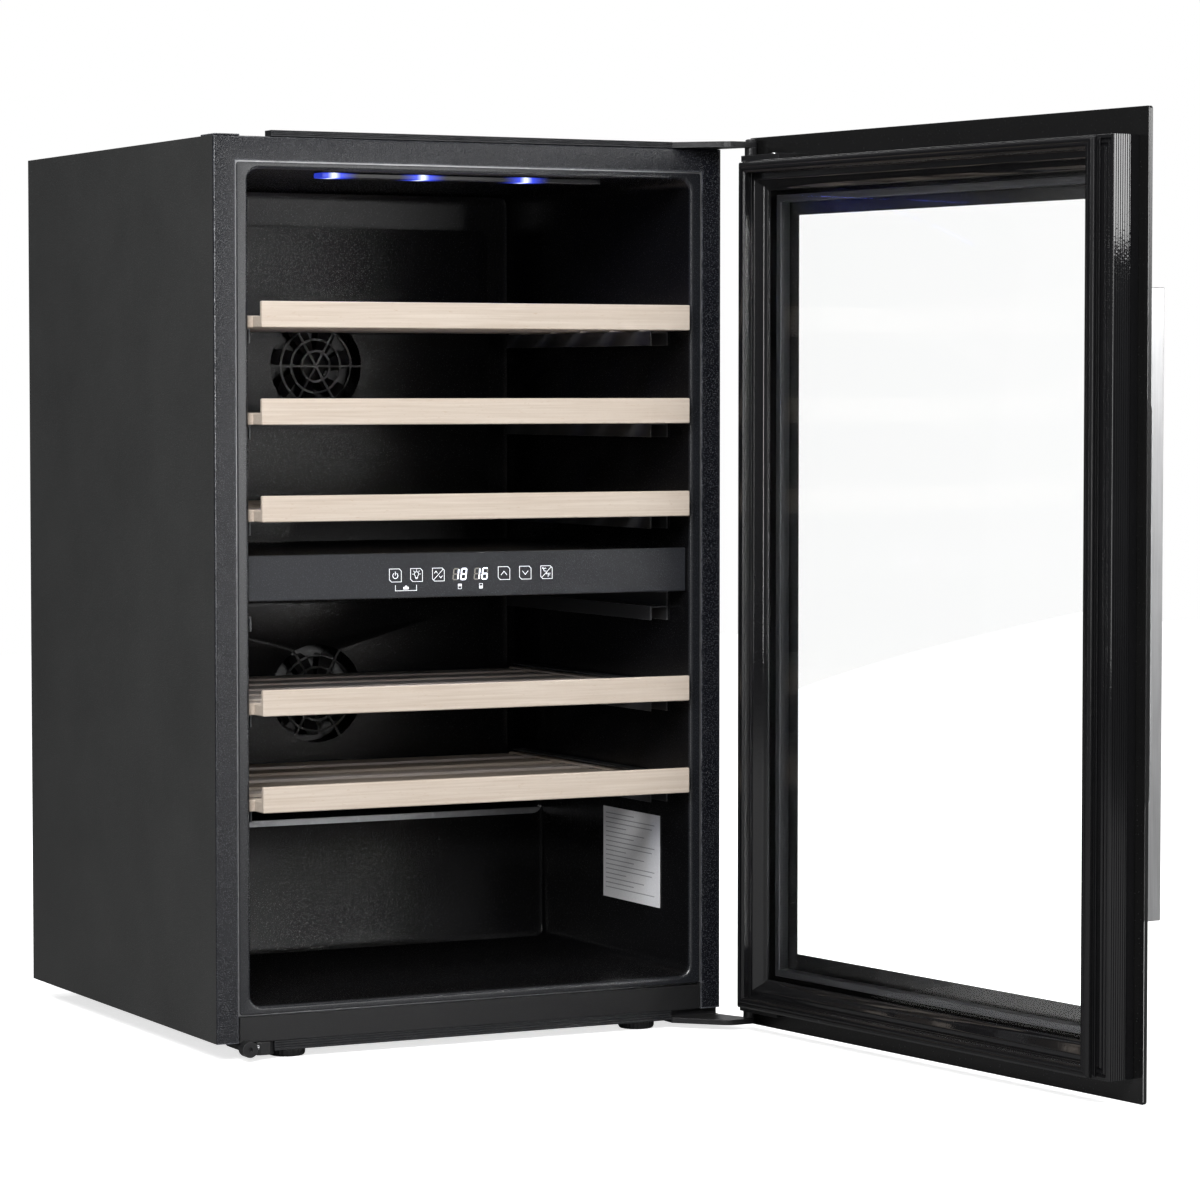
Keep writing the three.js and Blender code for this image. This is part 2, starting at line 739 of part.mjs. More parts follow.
function fan(z) {
  const y0 = coverFront + 6;
  let shape = cylinderAlongY(hubRadius, 0, 0, 0, hubDepth, 20);
  for (let blade = 0; blade < bladeCount; blade += 1) {
    const vane = new THREE.BoxGeometry(fanRadius - hubRadius + 4, 1.6, bladeWidth);
    vane.rotateX(Math.PI / 6);
    vane.translate((fanRadius + hubRadius) / 2 - 2, hubDepth / 2, 0);
    vane.rotateY((2 * Math.PI * blade) / bladeCount);
    shape = shape.add(solid(vane));
  }
  return shape.translate([fanX, y0, z]);
}

const upperCoverZ = dividerBottom + dividerThickness + upperCoverRise;
const lowerCoverZ = dividerBottom - lowerCoverDrop - lowerCoverHeight;
addPiece("evaporator_cover_upper", evaporatorCover(upperCoverZ, upperCoverHeight), "linerPlastic");
addPiece("evaporator_cover_lower", evaporatorCover(lowerCoverZ, lowerCoverHeight), "linerPlastic");
addPiece("fan_upper", fan(upperCoverZ + upperCoverHeight / 2), "footPlastic");
addPiece("fan_lower", fan(lowerCoverZ + lowerCoverHeight / 2), "footPlastic");

// Wooden shelves that slide out in steel guides
const runnerOutside = wallFace - guideSheet - fitGap;

// The front of a shelf: a thin upright lip on a deeper rail
function shelfFront(z) {
  const half = cavityHalf - shelfFrontInset;
  const y0 = -shelfFrontProud;
  const lipBack = y0 + shelfLipThickness;
  const railBack = y0 + shelfRailDepth;
  const [z0, z1] = [z - shelfFrontHeight / 2, z + shelfFrontHeight / 2];
  const railTop = z0 + shelfRailHeight;
  const ease = 1.2;
  const shape = outline([
    [y0, z0 + ease], [y0 + ease, z0], [railBack, z0], [railBack, railTop],
    [lipBack, railTop], [lipBack, z1], [y0 + ease, z1], [y0, z1 - ease],
  ]);
  return bar(shape, -half, half);
}

function shelfRack(z) {
  const y0 = shelfRailDepth - shelfFrontProud + gap;
  const y1 = coverFront - shelfRearGap;
  const z0 = z - shelfFrontHeight / 2;
  const inside = runnerOutside - runnerWidth;
  let shape = box(-runnerOutside, -inside, y0, y1, z0, z0 + runnerHeight);
  shape = shape.add(box(inside, runnerOutside, y0, y1, z0, z0 + runnerHeight));
  for (let slat = 0; slat < slatCount; slat += 1) {
    const y = y0 + ((y1 - y0 - slatWidth) * slat) / (slatCount - 1);
    shape = shape.add(box(-inside - 1, inside + 1, y, y + slatWidth, z0 + 1, z0 + 1 + slatHeight));
  }
  return shape;
}

// A guide on the wall: a web, a ledge under the runner with a skirt, and a lip over the runner
function shelfGuide(z, side) {
  const under = z - shelfFrontHeight / 2 - gap;
  const over = under + gap + runnerHeight + runnerGap;
  const inner = wallFace - guideLedge;
  const lip = wallFace - guideLip;
  const t = guideSheet;
  const points = [
    [wallFace, under - guideSkirt], [wallFace, over + t], [lip, over + t], [lip, over],
    [wallFace - t, over], [wallFace - t, under], [inner, under], [inner, under - guideSkirt],
    [inner + t, under - guideSkirt], [inner + t, under - t], [wallFace - t, under - t],
    [wallFace - t, under - guideSkirt],
  ];
  const shape = outline(points.map(([x, h]) => [side * x, h]));
  return frontPlate(shape, guideStart, coverFront - guideRearGap);
}

const shelfHeights = [];
for (let i = 0; i < upperShelves; i += 1) {
  shelfHeights.push(top - topShelfDrop - i * shelfPitch);
}
for (let i = 0; i < lowerShelves; i += 1) {
  shelfHeights.push(top - topShelfDrop - (upperShelves + 1 + i) * shelfPitch);
}
shelfHeights.forEach((z, i) => {
  addPiece("shelf_front_" + (i + 1), shelfFront(z), "beech");
  addPiece("shelf_rack_" + (i + 1), shelfRack(z), "beech");
  addPiece("shelf_guide_left_" + (i + 1), shelfGuide(z, -1), "zincSheet");
  addPiece("shelf_guide_right_" + (i + 1), shelfGuide(z, 1), "zincSheet");
});

// Door, built closed about its hinge axis: x runs to the hinge edge, y to the cabinet
const doorHinge = hingeInset;
const doorFree = hingeInset - doorWidth;
const doorLow = doorFloorGap;
const doorHigh = doorFloorGap + doorHeight;
const outerFace = -hingeSetback;
const enamelFace = outerFace + paneThickness + gap;
const frameFace = enamelFace + enamelThickness + gap;
const frameBack = outerFace + frameDepth;
const frameBounds = {
  x0: doorFree + frameFreeInset,
  x1: doorHinge - frameHingeInset,
  z0: doorLow + frameBottomInset,
  z1: doorHigh - frameTopInset,
};
const innerPaneFace = frameFace + airGap + gap;
const innerPaneBack = innerPaneFace + paneThickness;

function shrunk(bounds, inset) {
  return { x0: bounds.x0 + inset, x1: bounds.x1 - inset, z0: bounds.z0 + inset, z1: bounds.z1 - inset };
}

function doorFrame() {
  const ribStart = frameBack - 1 - ribCount * ribPitch;
  const lip = innerPaneBack + gap;
  const profile = [[0, frameFace], [0, ribStart]];
  for (let rib = 0; rib < ribCount; rib += 1) {
    const y = ribStart + rib * ribPitch;
    profile.push([ribCut, y + 0.3], [ribCut, y + 0.9], [0, y + 1.3]);
    profile.push([0, y + ribPitch - (rib + 1 < ribCount ? 0 : 0.2)]);
  }
  profile.push([1, frameBack], [frameWidth - 11, frameBack], [frameWidth - 4, lip + lipThickness + 2]);
  profile.push([frameWidth, lip + lipThickness], [frameWidth, lip], [glazingRebate, lip]);
  profile.push([glazingRebate, frameFace]);
  return mitredFrame(profile, frameBounds);
}

function doorGasket() {
  const y0 = frameBack + gap;
  const y1 = -axisY - gap;
  const w = gasketWidth;
  const profile = [
    [0, y0], [0, y0 + 1.5], [1.5, y0 + 3], [0.6, y0 + 5], [1.5, y0 + 6.5], [0.2, y1 - 2.5], [1.5, y1],
    [w - 1.5, y1], [w - 0.2, y1 - 2.5], [w - 1.5, y0 + 6.5], [w - 0.6, y0 + 5], [w - 1.5, y0 + 3],
    [w, y0 + 1.5], [w, y0],
  ];
  return mitredFrame(profile, {
    x0: -halfWidth + gasketSideInset - axisX,
    x1: halfWidth - gasketHingeInset - axisX,
    z0: frameBounds.z0 + gasketEndInset,
    z1: frameBounds.z1 - gasketEndInset,
  });
}

function outerGlass() {
  const pane = roundedRectangle(doorFree, doorHinge, doorLow, doorHigh, 3);
  return frontPlate(pane, outerFace, outerFace + paneThickness);
}

function enamelBorder() {
  const edge = 1.5;
  const shape = roundedRectangle(doorFree + edge, doorHinge - edge, doorLow + edge, doorHigh - edge, 2);
  const [x0, x1] = [doorFree + enamelSide, doorHinge - enamelSide];
  shape.holes.push(roundedRectangle(x0, x1, doorLow + enamelEnd, doorHigh - enamelEnd, 2));
  return frontPlate(shape, enamelFace, enamelFace + enamelThickness);
}

function innerGlass() {
  const { x0, x1, z0, z1 } = shrunk(frameBounds, glazingRebate + fitGap);
  return frontPlate(roundedRectangle(x0, x1, z0, z1, 1.5), innerPaneFace, innerPaneBack);
}

function glassSpacer() {
  const bounds = shrunk(frameBounds, spacerInset);
  const profile = [
    [0, frameFace], [0, innerPaneFace - gap], [spacerWidth - 1, innerPaneFace - gap],
    [spacerWidth, innerPaneFace - gap - 1.5], [spacerWidth, frameFace + 1.5], [spacerWidth - 1, frameFace],
  ];
  return mitredFrame(profile, bounds);
}

function doorHandle() {
  const x0 = doorFree + handleInset;
  const x1 = x0 + handleWidth;
  const y1 = outerFace - gap;
  const y0 = outerFace - handleReach;
  const middle = (doorLow + doorHigh) / 2;
  const ease = 1.2;
  const shape = outline([
    [x0 + ease, y0], [x1 - ease, y0], [x1, y0 + ease], [x1, y1], [x0, y1], [x0, y0 + ease],
  ]);
  const body = floorPlate(shape, middle - handleLength / 2, middle + handleLength / 2);
  const half = fingerSlotLength / 2;
  const slotBack = outerFace - fingerSlotFloor;
  const slotFront = outerFace - fingerSlotReach;
  const slot = roundedRectangle(slotFront, slotBack, middle - half, middle + half, fingerSlotRound);
  return body.subtract(bar(slot, x0 - 1, x0 + fingerSlotDepth));
}

// An arm on the end of the frame with an eye for the hinge pin
function doorBracket(z0, z1, eye0, eye1) {
  const arm = box(-armLength, 0, -eyeRadius, armDepth, z0, z1);
  const boss = cylinder(eyeRadius, 0, 0, eye0, eye1);
  const [low, high] = [Math.min(z0, eye0), Math.max(z1, eye1)];
  return arm.add(boss).subtract(cylinder(pinRadius + pinPlay, 0, 0, low - 1, high + 1));
}

addPiece("door_outer_glass", outerGlass(), "clearGlass", door);
addPiece("door_enamel_border", enamelBorder(), "blackEnamel", door);
addPiece("door_frame", doorFrame(), "frameProfile", door);
addPiece("door_gasket", doorGasket(), "gasketRubber", door);
addPiece("door_inner_glass", innerGlass(), "clearGlass", door);
addPiece("door_glass_spacer", glassSpacer(), "spacerMetal", door);
addPiece("door_handle", doorHandle(), "brushedSteel", door);
const armTop = frameBounds.z1 + gap;
addPiece("door_bracket_top", doorBracket(armTop, armTop + armThickness, armTop, top), "hingeSteel", door);
const armLow = frameBounds.z0 - gap;
const eyeLow = bottom - plateDrop + gap;
const lowBracket = doorBracket(armLow - armThickness, armLow, eyeLow, armLow);
addPiece("door_bracket_bottom", lowBracket, "hingeSteel", door);
door.position.set(axisX, axisY, 0);
door.rotation.z = openAngle;

// The origin is the middle of the footprint, on the floor
const extent = new THREE.Box3().setFromObject(cooler);
const middle = extent.getCenter(new THREE.Vector3());
cooler.position.set(-middle.x, -middle.y, -extent.min.z);

export default cooler;
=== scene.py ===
import json
import math
import bmesh
import bpy
from mathutils import Matrix, Vector


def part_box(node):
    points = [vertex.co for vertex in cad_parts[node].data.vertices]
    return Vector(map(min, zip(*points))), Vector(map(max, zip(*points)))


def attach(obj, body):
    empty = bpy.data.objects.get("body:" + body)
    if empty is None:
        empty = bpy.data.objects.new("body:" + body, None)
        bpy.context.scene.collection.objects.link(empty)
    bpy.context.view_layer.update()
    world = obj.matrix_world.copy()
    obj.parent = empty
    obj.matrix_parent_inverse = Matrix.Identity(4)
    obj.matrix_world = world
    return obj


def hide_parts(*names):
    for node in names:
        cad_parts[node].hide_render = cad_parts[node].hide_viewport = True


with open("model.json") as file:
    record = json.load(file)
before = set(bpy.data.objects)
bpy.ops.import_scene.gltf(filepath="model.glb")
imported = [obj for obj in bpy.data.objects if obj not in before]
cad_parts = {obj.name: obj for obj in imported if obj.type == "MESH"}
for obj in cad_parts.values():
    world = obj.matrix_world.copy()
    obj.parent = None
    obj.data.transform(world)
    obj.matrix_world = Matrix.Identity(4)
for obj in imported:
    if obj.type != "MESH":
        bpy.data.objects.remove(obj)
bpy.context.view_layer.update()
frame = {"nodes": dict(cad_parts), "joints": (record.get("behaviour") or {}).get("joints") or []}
print("frame loaded")

# Places: cabinet millimetres are measured from the middle of the front plane at floor level
shellLow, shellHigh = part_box("outer_shell")
middleX = (shellLow.x + shellHigh.x) / 2
frontY = shellLow.y
cabinetSpace = Matrix.Translation((middleX, frontY, 0))
doorHinge = next(joint for joint in frame["joints"] if joint["name"] == "door_hinge")
openAngle = math.radians(-doorHinge["range_deg"][0])
hingeX, hingeY, _ = doorHinge["pos_m"]
doorSpace = Matrix.Translation((hingeX, hingeY, 0)) @ Matrix.Rotation(openAngle, 4, "Z")


def localBox(node, space=cabinetSpace):  # the box of a CAD node, in the millimetres of a space
    back = space.inverted()
    points = [back @ v.co * 1000 for v in frame["nodes"][node].data.vertices]
    low = [min(p[axis] for p in points) for axis in range(3)]
    high = [max(p[axis] for p in points) for axis in range(3)]
    return low, high


# Camera
cameraSetup = {
    "offset": (-1.5047, -3.7182, 0.6216),  # from the lower left front corner of the cabinet
    "turn": 27.223,
    "tilt": 2.851,
    "lens": 127.18,
}


def makeCamera(setup):
    data = bpy.data.cameras.new("camera")
    data.lens = setup["lens"]
    data.sensor_width = 36
    data.clip_start, data.clip_end = 0.05, 100
    camera = bpy.data.objects.new("camera", data)
    camera.location = shellLow + Vector(setup["offset"])
    camera.rotation_euler = (math.radians(90 - setup["tilt"]), 0, math.radians(-setup["turn"]))
    bpy.context.scene.collection.objects.link(camera)
    bpy.context.scene.camera = camera


makeCamera(cameraSetup)


# Node groups shared by several finishes
def newGroup(name, inputs, outputs):
    group = bpy.data.node_groups.new(name, "ShaderNodeTree")
    for label, kind, default in inputs:
        socket = group.interface.new_socket(label, in_out="INPUT", socket_type="NodeSocket" + kind)
        socket.default_value = default
    for label, kind in outputs:
        group.interface.new_socket(label, in_out="OUTPUT", socket_type="NodeSocket" + kind)
    return group, group.nodes.new("NodeGroupInput"), group.nodes.new("NodeGroupOutput")


def put(tree, kind, values=None, **settings):
    node = tree.nodes.new("ShaderNode" + kind)
    for key, value in settings.items():
        setattr(node, key, value)
    for key, value in (values or {}).items():
        node.inputs[key].default_value = value
    return node


def ramp(tree, source, low, high, fromValue=0.0, toValue=1.0):
    node = put(tree, "MapRange", {"From Min": low, "From Max": high, "To Min": fromValue, "To Max": toValue})
    tree.links.new(source, node.inputs["Value"])
    return node.outputs["Result"]


def mathNode(tree, operation, first, second):
    node = put(tree, "Math", operation=operation)
    for index, value in enumerate((first, second)):
        if isinstance(value, (int, float)):
            node.inputs[index].default_value = value
        else:
            tree.links.new(value, node.inputs[index])
    return node.outputs[0]


def mixColour(tree, factor, first, second, blend="MIX"):
    node = tree.nodes.new("ShaderNodeMix")
    node.data_type = "RGBA"
    node.blend_type = blend
    for socket, value in ((node.inputs[0], factor), (node.inputs[6], first), (node.inputs[7], second)):
        if isinstance(value, (int, float, tuple)):
            socket.default_value = value
        else:
            tree.links.new(value, socket)
    return node.outputs[2]


def placesIn(tree, scale=(1, 1, 1), turn=(0, 0, 0)):
    coordinates = put(tree, "TexCoord")
    mapping = put(tree, "Mapping")
    mapping.inputs["Scale"].default_value = scale
    mapping.inputs["Rotation"].default_value = turn
    tree.links.new(coordinates.outputs["Object"], mapping.inputs["Vector"])
    return mapping.outputs["Vector"]


def grainGroup():  # fine grains of a textured paint or moulded plastic
    group, start, end = newGroup(
        "moulded grain",
        [("Vector", "Vector", (0, 0, 0)), ("Grain", "Float", 900.0), ("Depth", "Float", 0.2),
         ("Base", "Color", (0.05, 0.05, 0.05, 1)), ("Speck", "Color", (0.1, 0.1, 0.1, 1))],
        [("Color", "Color"), ("Mask", "Float"), ("Normal", "Vector")])
    fine = put(group, "TexNoise", {"Detail": 3.0, "Roughness": 0.6})
    cells = put(group, "TexVoronoi", {"Randomness": 1.0})
    wide = put(group, "TexNoise", {"Scale": 9.0, "Detail": 4.0, "Roughness": 0.55})
    for node in (fine, cells, wide):
        group.links.new(start.outputs["Vector"], node.inputs["Vector"])
    for node in (fine, cells):
        group.links.new(start.outputs["Grain"], node.inputs["Scale"])
    specks = ramp(group, cells.outputs["Distance"], 0.45, 0.1)
    mask = mathNode(group, "MULTIPLY", specks, ramp(group, fine.outputs["Fac"], 0.42, 0.66))
    cloud = ramp(group, wide.outputs["Fac"], 0.3, 0.7, 0.88, 1.12)
    colour = mixColour(group, mask, start.outputs["Base"], start.outputs["Speck"])
    tint = put(group, "CombineColor")
    for index in range(3):
        group.links.new(cloud, tint.inputs[index])
    shaded = mixColour(group, 1.0, colour, tint.outputs[0], "MULTIPLY")
    bump = put(group, "Bump", {"Distance": 0.0004})
    group.links.new(start.outputs["Depth"], bump.inputs["Strength"])
    group.links.new(mathNode(group, "ADD", fine.outputs["Fac"], specks), bump.inputs["Height"])
    group.links.new(shaded, end.inputs["Color"])
    group.links.new(mask, end.inputs["Mask"])
    group.links.new(bump.outputs["Normal"], end.inputs["Normal"])
    return group


def buildEdgeHighlightAndDust():  # painted highlight on edges, patchy through noise, and a little dust on what faces up
    group, start, end = newGroup(
        "painted edge highlight and dust",
        [("Radius", "Float", 0.001), ("Low", "Float", 0.02), ("High", "Float", 0.2)],
        [("Edge", "Float"), ("Dust", "Float")])
    rounded = put(group, "Bevel", samples=4)
    group.links.new(start.outputs["Radius"], rounded.inputs["Radius"])
    shape = put(group, "NewGeometry")
    dot = put(group, "VectorMath", operation="DOT_PRODUCT")
    group.links.new(rounded.outputs["Normal"], dot.inputs[0])
    group.links.new(shape.outputs["Normal"], dot.inputs[1])
    turned = mathNode(group, "SUBTRACT", 1.0, dot.outputs["Value"])
    mask = put(group, "MapRange")
    group.links.new(turned, mask.inputs["Value"])
    group.links.new(start.outputs["Low"], mask.inputs["From Min"])
    group.links.new(start.outputs["High"], mask.inputs["From Max"])
    noise = put(group, "TexNoise", {"Scale": 60.0, "Detail": 4.0})
    group.links.new(placesIn(group), noise.inputs["Vector"])
    edge = mathNode(group, "MULTIPLY", mask.outputs["Result"], ramp(group, noise.outputs["Fac"], 0.3, 0.6))
    split = put(group, "SeparateXYZ")
    group.links.new(shape.outputs["Normal"], split.inputs[0])
    dust = mathNode(group, "MULTIPLY", ramp(group, split.outputs["Z"], 0.6, 1.0),
                    ramp(group, noise.outputs["Fac"], 0.35, 0.75, 0.1, 0.6))
    group.links.new(edge, end.inputs["Edge"])
    group.links.new(dust, end.inputs["Dust"])
    return group


def brushGroup():  # drawn lines of brushed metal, stretched by the given scale
    group, start, end = newGroup(
        "drawn lines",
        [("Stretch", "Vector", (400, 400, 4)), ("Depth", "Float", 0.1)],
        [("Mask", "Float"), ("Normal", "Vector")])
    coordinates = put(group, "TexCoord")
    scaled = put(group, "VectorMath", operation="MULTIPLY")
    group.links.new(coordinates.outputs["Object"], scaled.inputs[0])
    group.links.new(start.outputs["Stretch"], scaled.inputs[1])
    lines = put(group, "TexNoise", {"Scale": 1.0, "Detail": 6.0, "Roughness": 0.7})
    group.links.new(scaled.outputs["Vector"], lines.inputs["Vector"])
    bump = put(group, "Bump", {"Distance": 0.0002})
    group.links.new(start.outputs["Depth"], bump.inputs["Strength"])
    group.links.new(lines.outputs["Fac"], bump.inputs["Height"])
    group.links.new(ramp(group, lines.outputs["Fac"], 0.3, 0.7), end.inputs["Mask"])
    group.links.new(bump.outputs["Normal"], end.inputs["Normal"])
    return group


mouldedGrain = grainGroup()
edgeHighlightAndDust = buildEdgeHighlightAndDust()
drawnLines = brushGroup()


def newMaterial(name, **sockets):
    material = bpy.data.materials.new(name)
    material.use_nodes = True
    tree = material.node_tree
    shader = tree.nodes["Principled BSDF"]
    for label, value in sockets.items():
        shader.inputs[label.replace("_", " ")].default_value = value
    return material, tree, shader


def addGroup(tree, group, values=None):
    node = tree.nodes.new("ShaderNodeGroup")
    node.node_tree = group
    for label, value in (values or {}).items():
        node.inputs[label].default_value = value
    return node


def grainyMaterial(name, look):
    material, tree, shader = newMaterial(
        name, Metallic=look.get("metal", 0.0), Specular_IOR_Level=look.get("specular", 0.5),
        Coat_Weight=look.get("coat", 0.0), Coat_Roughness=0.1)
    grain = addGroup(tree, mouldedGrain, {
        "Grain": look["grain"], "Depth": look["depth"],
        "Base": (*look["base"], 1), "Speck": (*look["speck"], 1)})
    tree.links.new(placesIn(tree), grain.inputs["Vector"])
    highlightDust = addGroup(tree, edgeHighlightAndDust, {"Radius": look.get("edge", 0.0008)})
    # Edges lighten towards the edge colour: painted highlight on rounded edges, patchy through noise
    lit = mixColour(tree, mathNode(tree, "MULTIPLY", highlightDust.outputs["Edge"], look.get("edgeShare", 0.5)),
                    grain.outputs["Color"], (*look.get("edgeColour", look["speck"]), 1))
    dusty = mixColour(tree, mathNode(tree, "MULTIPLY", highlightDust.outputs["Dust"], look.get("dust", 0.06)),
                      lit, (0.35, 0.33, 0.31, 1))
    tree.links.new(dusty, shader.inputs["Base Color"])
    low, high = look["rough"]
    tree.links.new(ramp(tree, grain.outputs["Mask"], 0, 1, low, high), shader.inputs["Roughness"])
    tree.links.new(grain.outputs["Normal"], shader.inputs["Normal"])
    return material


def brushedMaterial(name, look):
    material, tree, shader = newMaterial(name, Metallic=look.get("metal", 1.0), Anisotropic=0.4)
    lines = addGroup(tree, drawnLines, {"Stretch": look["stretch"], "Depth": look["depth"]})
    highlightDust = addGroup(tree, edgeHighlightAndDust, {"Radius": 0.0008})
    base = mixColour(tree, lines.outputs["Mask"], (*look["dark"], 1), (*look["light"], 1))
    # Edges lighten towards pale grey: painted highlight on the edges
    tree.links.new(mixColour(tree, mathNode(tree, "MULTIPLY", highlightDust.outputs["Edge"], 0.4), base,
                             (0.85, 0.85, 0.86, 1)), shader.inputs["Base Color"])
    low, high = look["rough"]
    tree.links.new(ramp(tree, lines.outputs["Mask"], 0, 1, low, high), shader.inputs["Roughness"])
    tree.links.new(lines.outputs["Normal"], shader.inputs["Normal"])
    return material


def glowMaterial(name, base, colour, strength):
    material, tree, shader = newMaterial(name, Roughness=0.4, Emission_Strength=strength)
    noise = put(tree, "TexNoise", {"Scale": 700.0})
    tree.links.new(placesIn(tree), noise.inputs["Vector"])
    level = ramp(tree, noise.outputs["Fac"], 0.3, 0.7)
    dimBase, dimColour = [c * 0.9 for c in base], [c * 0.92 for c in colour]
    tree.links.new(mixColour(tree, level, (*dimBase, 1), (*base, 1)), shader.inputs["Base Color"])
    tree.links.new(mixColour(tree, level, (*dimColour, 1), (*colour, 1)), shader.inputs["Emission Color"])
    return material


def beechMaterial(name, along, look):  # straight grain and short flecks along one axis
    material, tree, shader = newMaterial(name, Specular_IOR_Level=0.35)
    stretch = [look["across"]] * 3
    stretch["xyz".index(along)] = look["along"]
    flecks = [look["fleckAcross"]] * 3
    flecks["xyz".index(along)] = look["fleckAlong"]
    information = put(tree, "ObjectInfo")
    grain = put(tree, "TexNoise", {"Scale": 1.0, "Detail": 5.0, "Roughness": 0.6, "Distortion": 0.3},
                noise_dimensions="4D")
    spots = put(tree, "TexNoise", {"Scale": 1.0, "Detail": 2.0, "Roughness": 0.5}, noise_dimensions="4D")
    tree.links.new(placesIn(tree, tuple(stretch)), grain.inputs["Vector"])
    tree.links.new(placesIn(tree, tuple(flecks)), spots.inputs["Vector"])
    shift = mathNode(tree, "MULTIPLY", information.outputs["Random"], 20.0)
    tree.links.new(shift, grain.inputs["W"])
    tree.links.new(shift, spots.inputs["W"])
    streaks = ramp(tree, grain.outputs["Fac"], 0.3, 0.72)
    wood = mixColour(tree, streaks, (*look["dark"], 1), (*look["light"], 1))
    fleck = mathNode(tree, "MULTIPLY", ramp(tree, spots.outputs["Fac"], 0.63, 0.72), 0.5)
    flecked = mixColour(tree, fleck, wood, (*look["fleck"], 1))
    highlightDust = addGroup(tree, edgeHighlightAndDust, {"Radius": 0.001})
    # Edges lighten towards a pale beech colour: painted highlight on the rounded edges
    tree.links.new(mixColour(tree, mathNode(tree, "MULTIPLY", highlightDust.outputs["Edge"], 0.25), flecked,
                             (*look["edgeLight"], 1)), shader.inputs["Base Color"])
    tree.links.new(ramp(tree, grain.outputs["Fac"], 0.3, 0.7, 0.5, 0.62), shader.inputs["Roughness"])
    bump = put(tree, "Bump", {"Strength": 0.25, "Distance": 0.0003})
    tree.links.new(mathNode(tree, "SUBTRACT", grain.outputs["Fac"], fleck), bump.inputs["Height"])
    tree.links.new(bump.outputs["Normal"], shader.inputs["Normal"])
    return material


sidePaint = grainyMaterial("side paint", {
    "base": (0.036, 0.0365, 0.036), "speck": (0.085, 0.086, 0.085), "grain": 800, "depth": 0.35,
    "rough": (0.52, 0.62), "specular": 0.4, "edge": 0.0012, "edgeColour": (0.09, 0.09, 0.095)})
frontPaint = grainyMaterial("front paint", {
    "base": (0.0045, 0.005, 0.0075), "speck": (0.04, 0.043, 0.053), "grain": 850, "depth": 0.7,
    "rough": (0.25, 0.42), "specular": 0.5, "edge": 0.0022, "edgeColour": (0.24, 0.25, 0.28),
    "edgeShare": 0.9})
linerPlastic = grainyMaterial("liner plastic", {
    "base": (0.0035, 0.0035, 0.004), "speck": (0.005, 0.005, 0.0055), "grain": 700, "depth": 0.03,
    "rough": (0.26, 0.3), "specular": 0.35, "dust": 0.02})
linerLip = grainyMaterial("liner lip", {
    "base": (0.010, 0.0108, 0.013), "speck": (0.016, 0.017, 0.02), "grain": 900, "depth": 0.08,
    "rough": (0.26, 0.34), "specular": 0.6, "dust": 0.02})
darkPlastic = grainyMaterial("dark plastic", {
    "base": (0.006, 0.006, 0.0065), "speck": (0.028, 0.028, 0.03), "grain": 900, "depth": 0.2,
    "rough": (0.45, 0.55)})
fasciaPaint = grainyMaterial("fascia paint", {
    "base": (0.0115, 0.0125, 0.0158), "speck": (0.075, 0.08, 0.092), "grain": 800, "depth": 0.35,
    "rough": (0.45, 0.55), "specular": 0.45})
trimPaint = grainyMaterial("trim paint", {
    "base": (0.010, 0.0105, 0.012), "speck": (0.05, 0.051, 0.056), "grain": 1300, "depth": 0.25,
    "rough": (0.38, 0.5), "metal": 0.2, "edgeColour": (0.12, 0.12, 0.13)})
hingePaint = grainyMaterial("hinge paint", {
    "base": (0.014, 0.014, 0.015), "speck": (0.03, 0.03, 0.032), "grain": 1500, "depth": 0.2,
    "rough": (0.32, 0.42), "metal": 0.3, "edgeColour": (0.2, 0.2, 0.21), "edgeShare": 0.6})
frameGloss = grainyMaterial("frame gloss", {
    "base": (0.006, 0.006, 0.0065), "speck": (0.009, 0.009, 0.01), "grain": 300, "depth": 0.03,
    "rough": (0.05, 0.09), "specular": 0.6, "dust": 0.03})
gasketRubber = grainyMaterial("gasket rubber", {
    "base": (0.004, 0.004, 0.0045), "speck": (0.008, 0.008, 0.009), "grain": 800, "depth": 0.05,
    "rough": (0.2, 0.27), "specular": 0.4, "dust": 0.05})
enamelBlack = grainyMaterial("enamel black", {
    "base": (0.005, 0.005, 0.005), "speck": (0.007, 0.007, 0.007), "grain": 400, "depth": 0.02,
    "rough": (0.24, 0.3), "specular": 0.5, "dust": 0.0})
footPlastic = grainyMaterial("foot plastic", {
    "base": (0.010, 0.010, 0.011), "speck": (0.02, 0.02, 0.021), "grain": 700, "depth": 0.15,
    "rough": (0.4, 0.5)})
compressorPaint = grainyMaterial("compressor paint", {
    "base": (0.007, 0.007, 0.008), "speck": (0.014, 0.014, 0.015), "grain": 500, "depth": 0.2,
    "rough": (0.25, 0.38), "coat": 0.3, "dust": 0.2})
condenserPaint = grainyMaterial("condenser paint", {
    "base": (0.010, 0.010, 0.011), "speck": (0.022, 0.022, 0.023), "grain": 900, "depth": 0.2,
    "rough": (0.4, 0.5), "dust": 0.2})
foilCover = grainyMaterial("foil cover", {
    "base": (0.35, 0.35, 0.36), "speck": (0.5, 0.5, 0.51), "grain": 120, "depth": 0.5,
    "rough": (0.3, 0.45), "metal": 0.8})
zincSheet = brushedMaterial("zinc sheet", {
    "stretch": (60, 60, 60), "depth": 0.15, "dark": (0.30, 0.31, 0.32), "light": (0.44, 0.45, 0.47),
    "rough": (0.35, 0.5)})
guideSteel = brushedMaterial("guide steel", {
    "stretch": (900, 12, 900), "depth": 0.12, "dark": (0.055, 0.056, 0.06), "light": (0.085, 0.086, 0.09),
    "rough": (0.35, 0.5), "metal": 0.7})
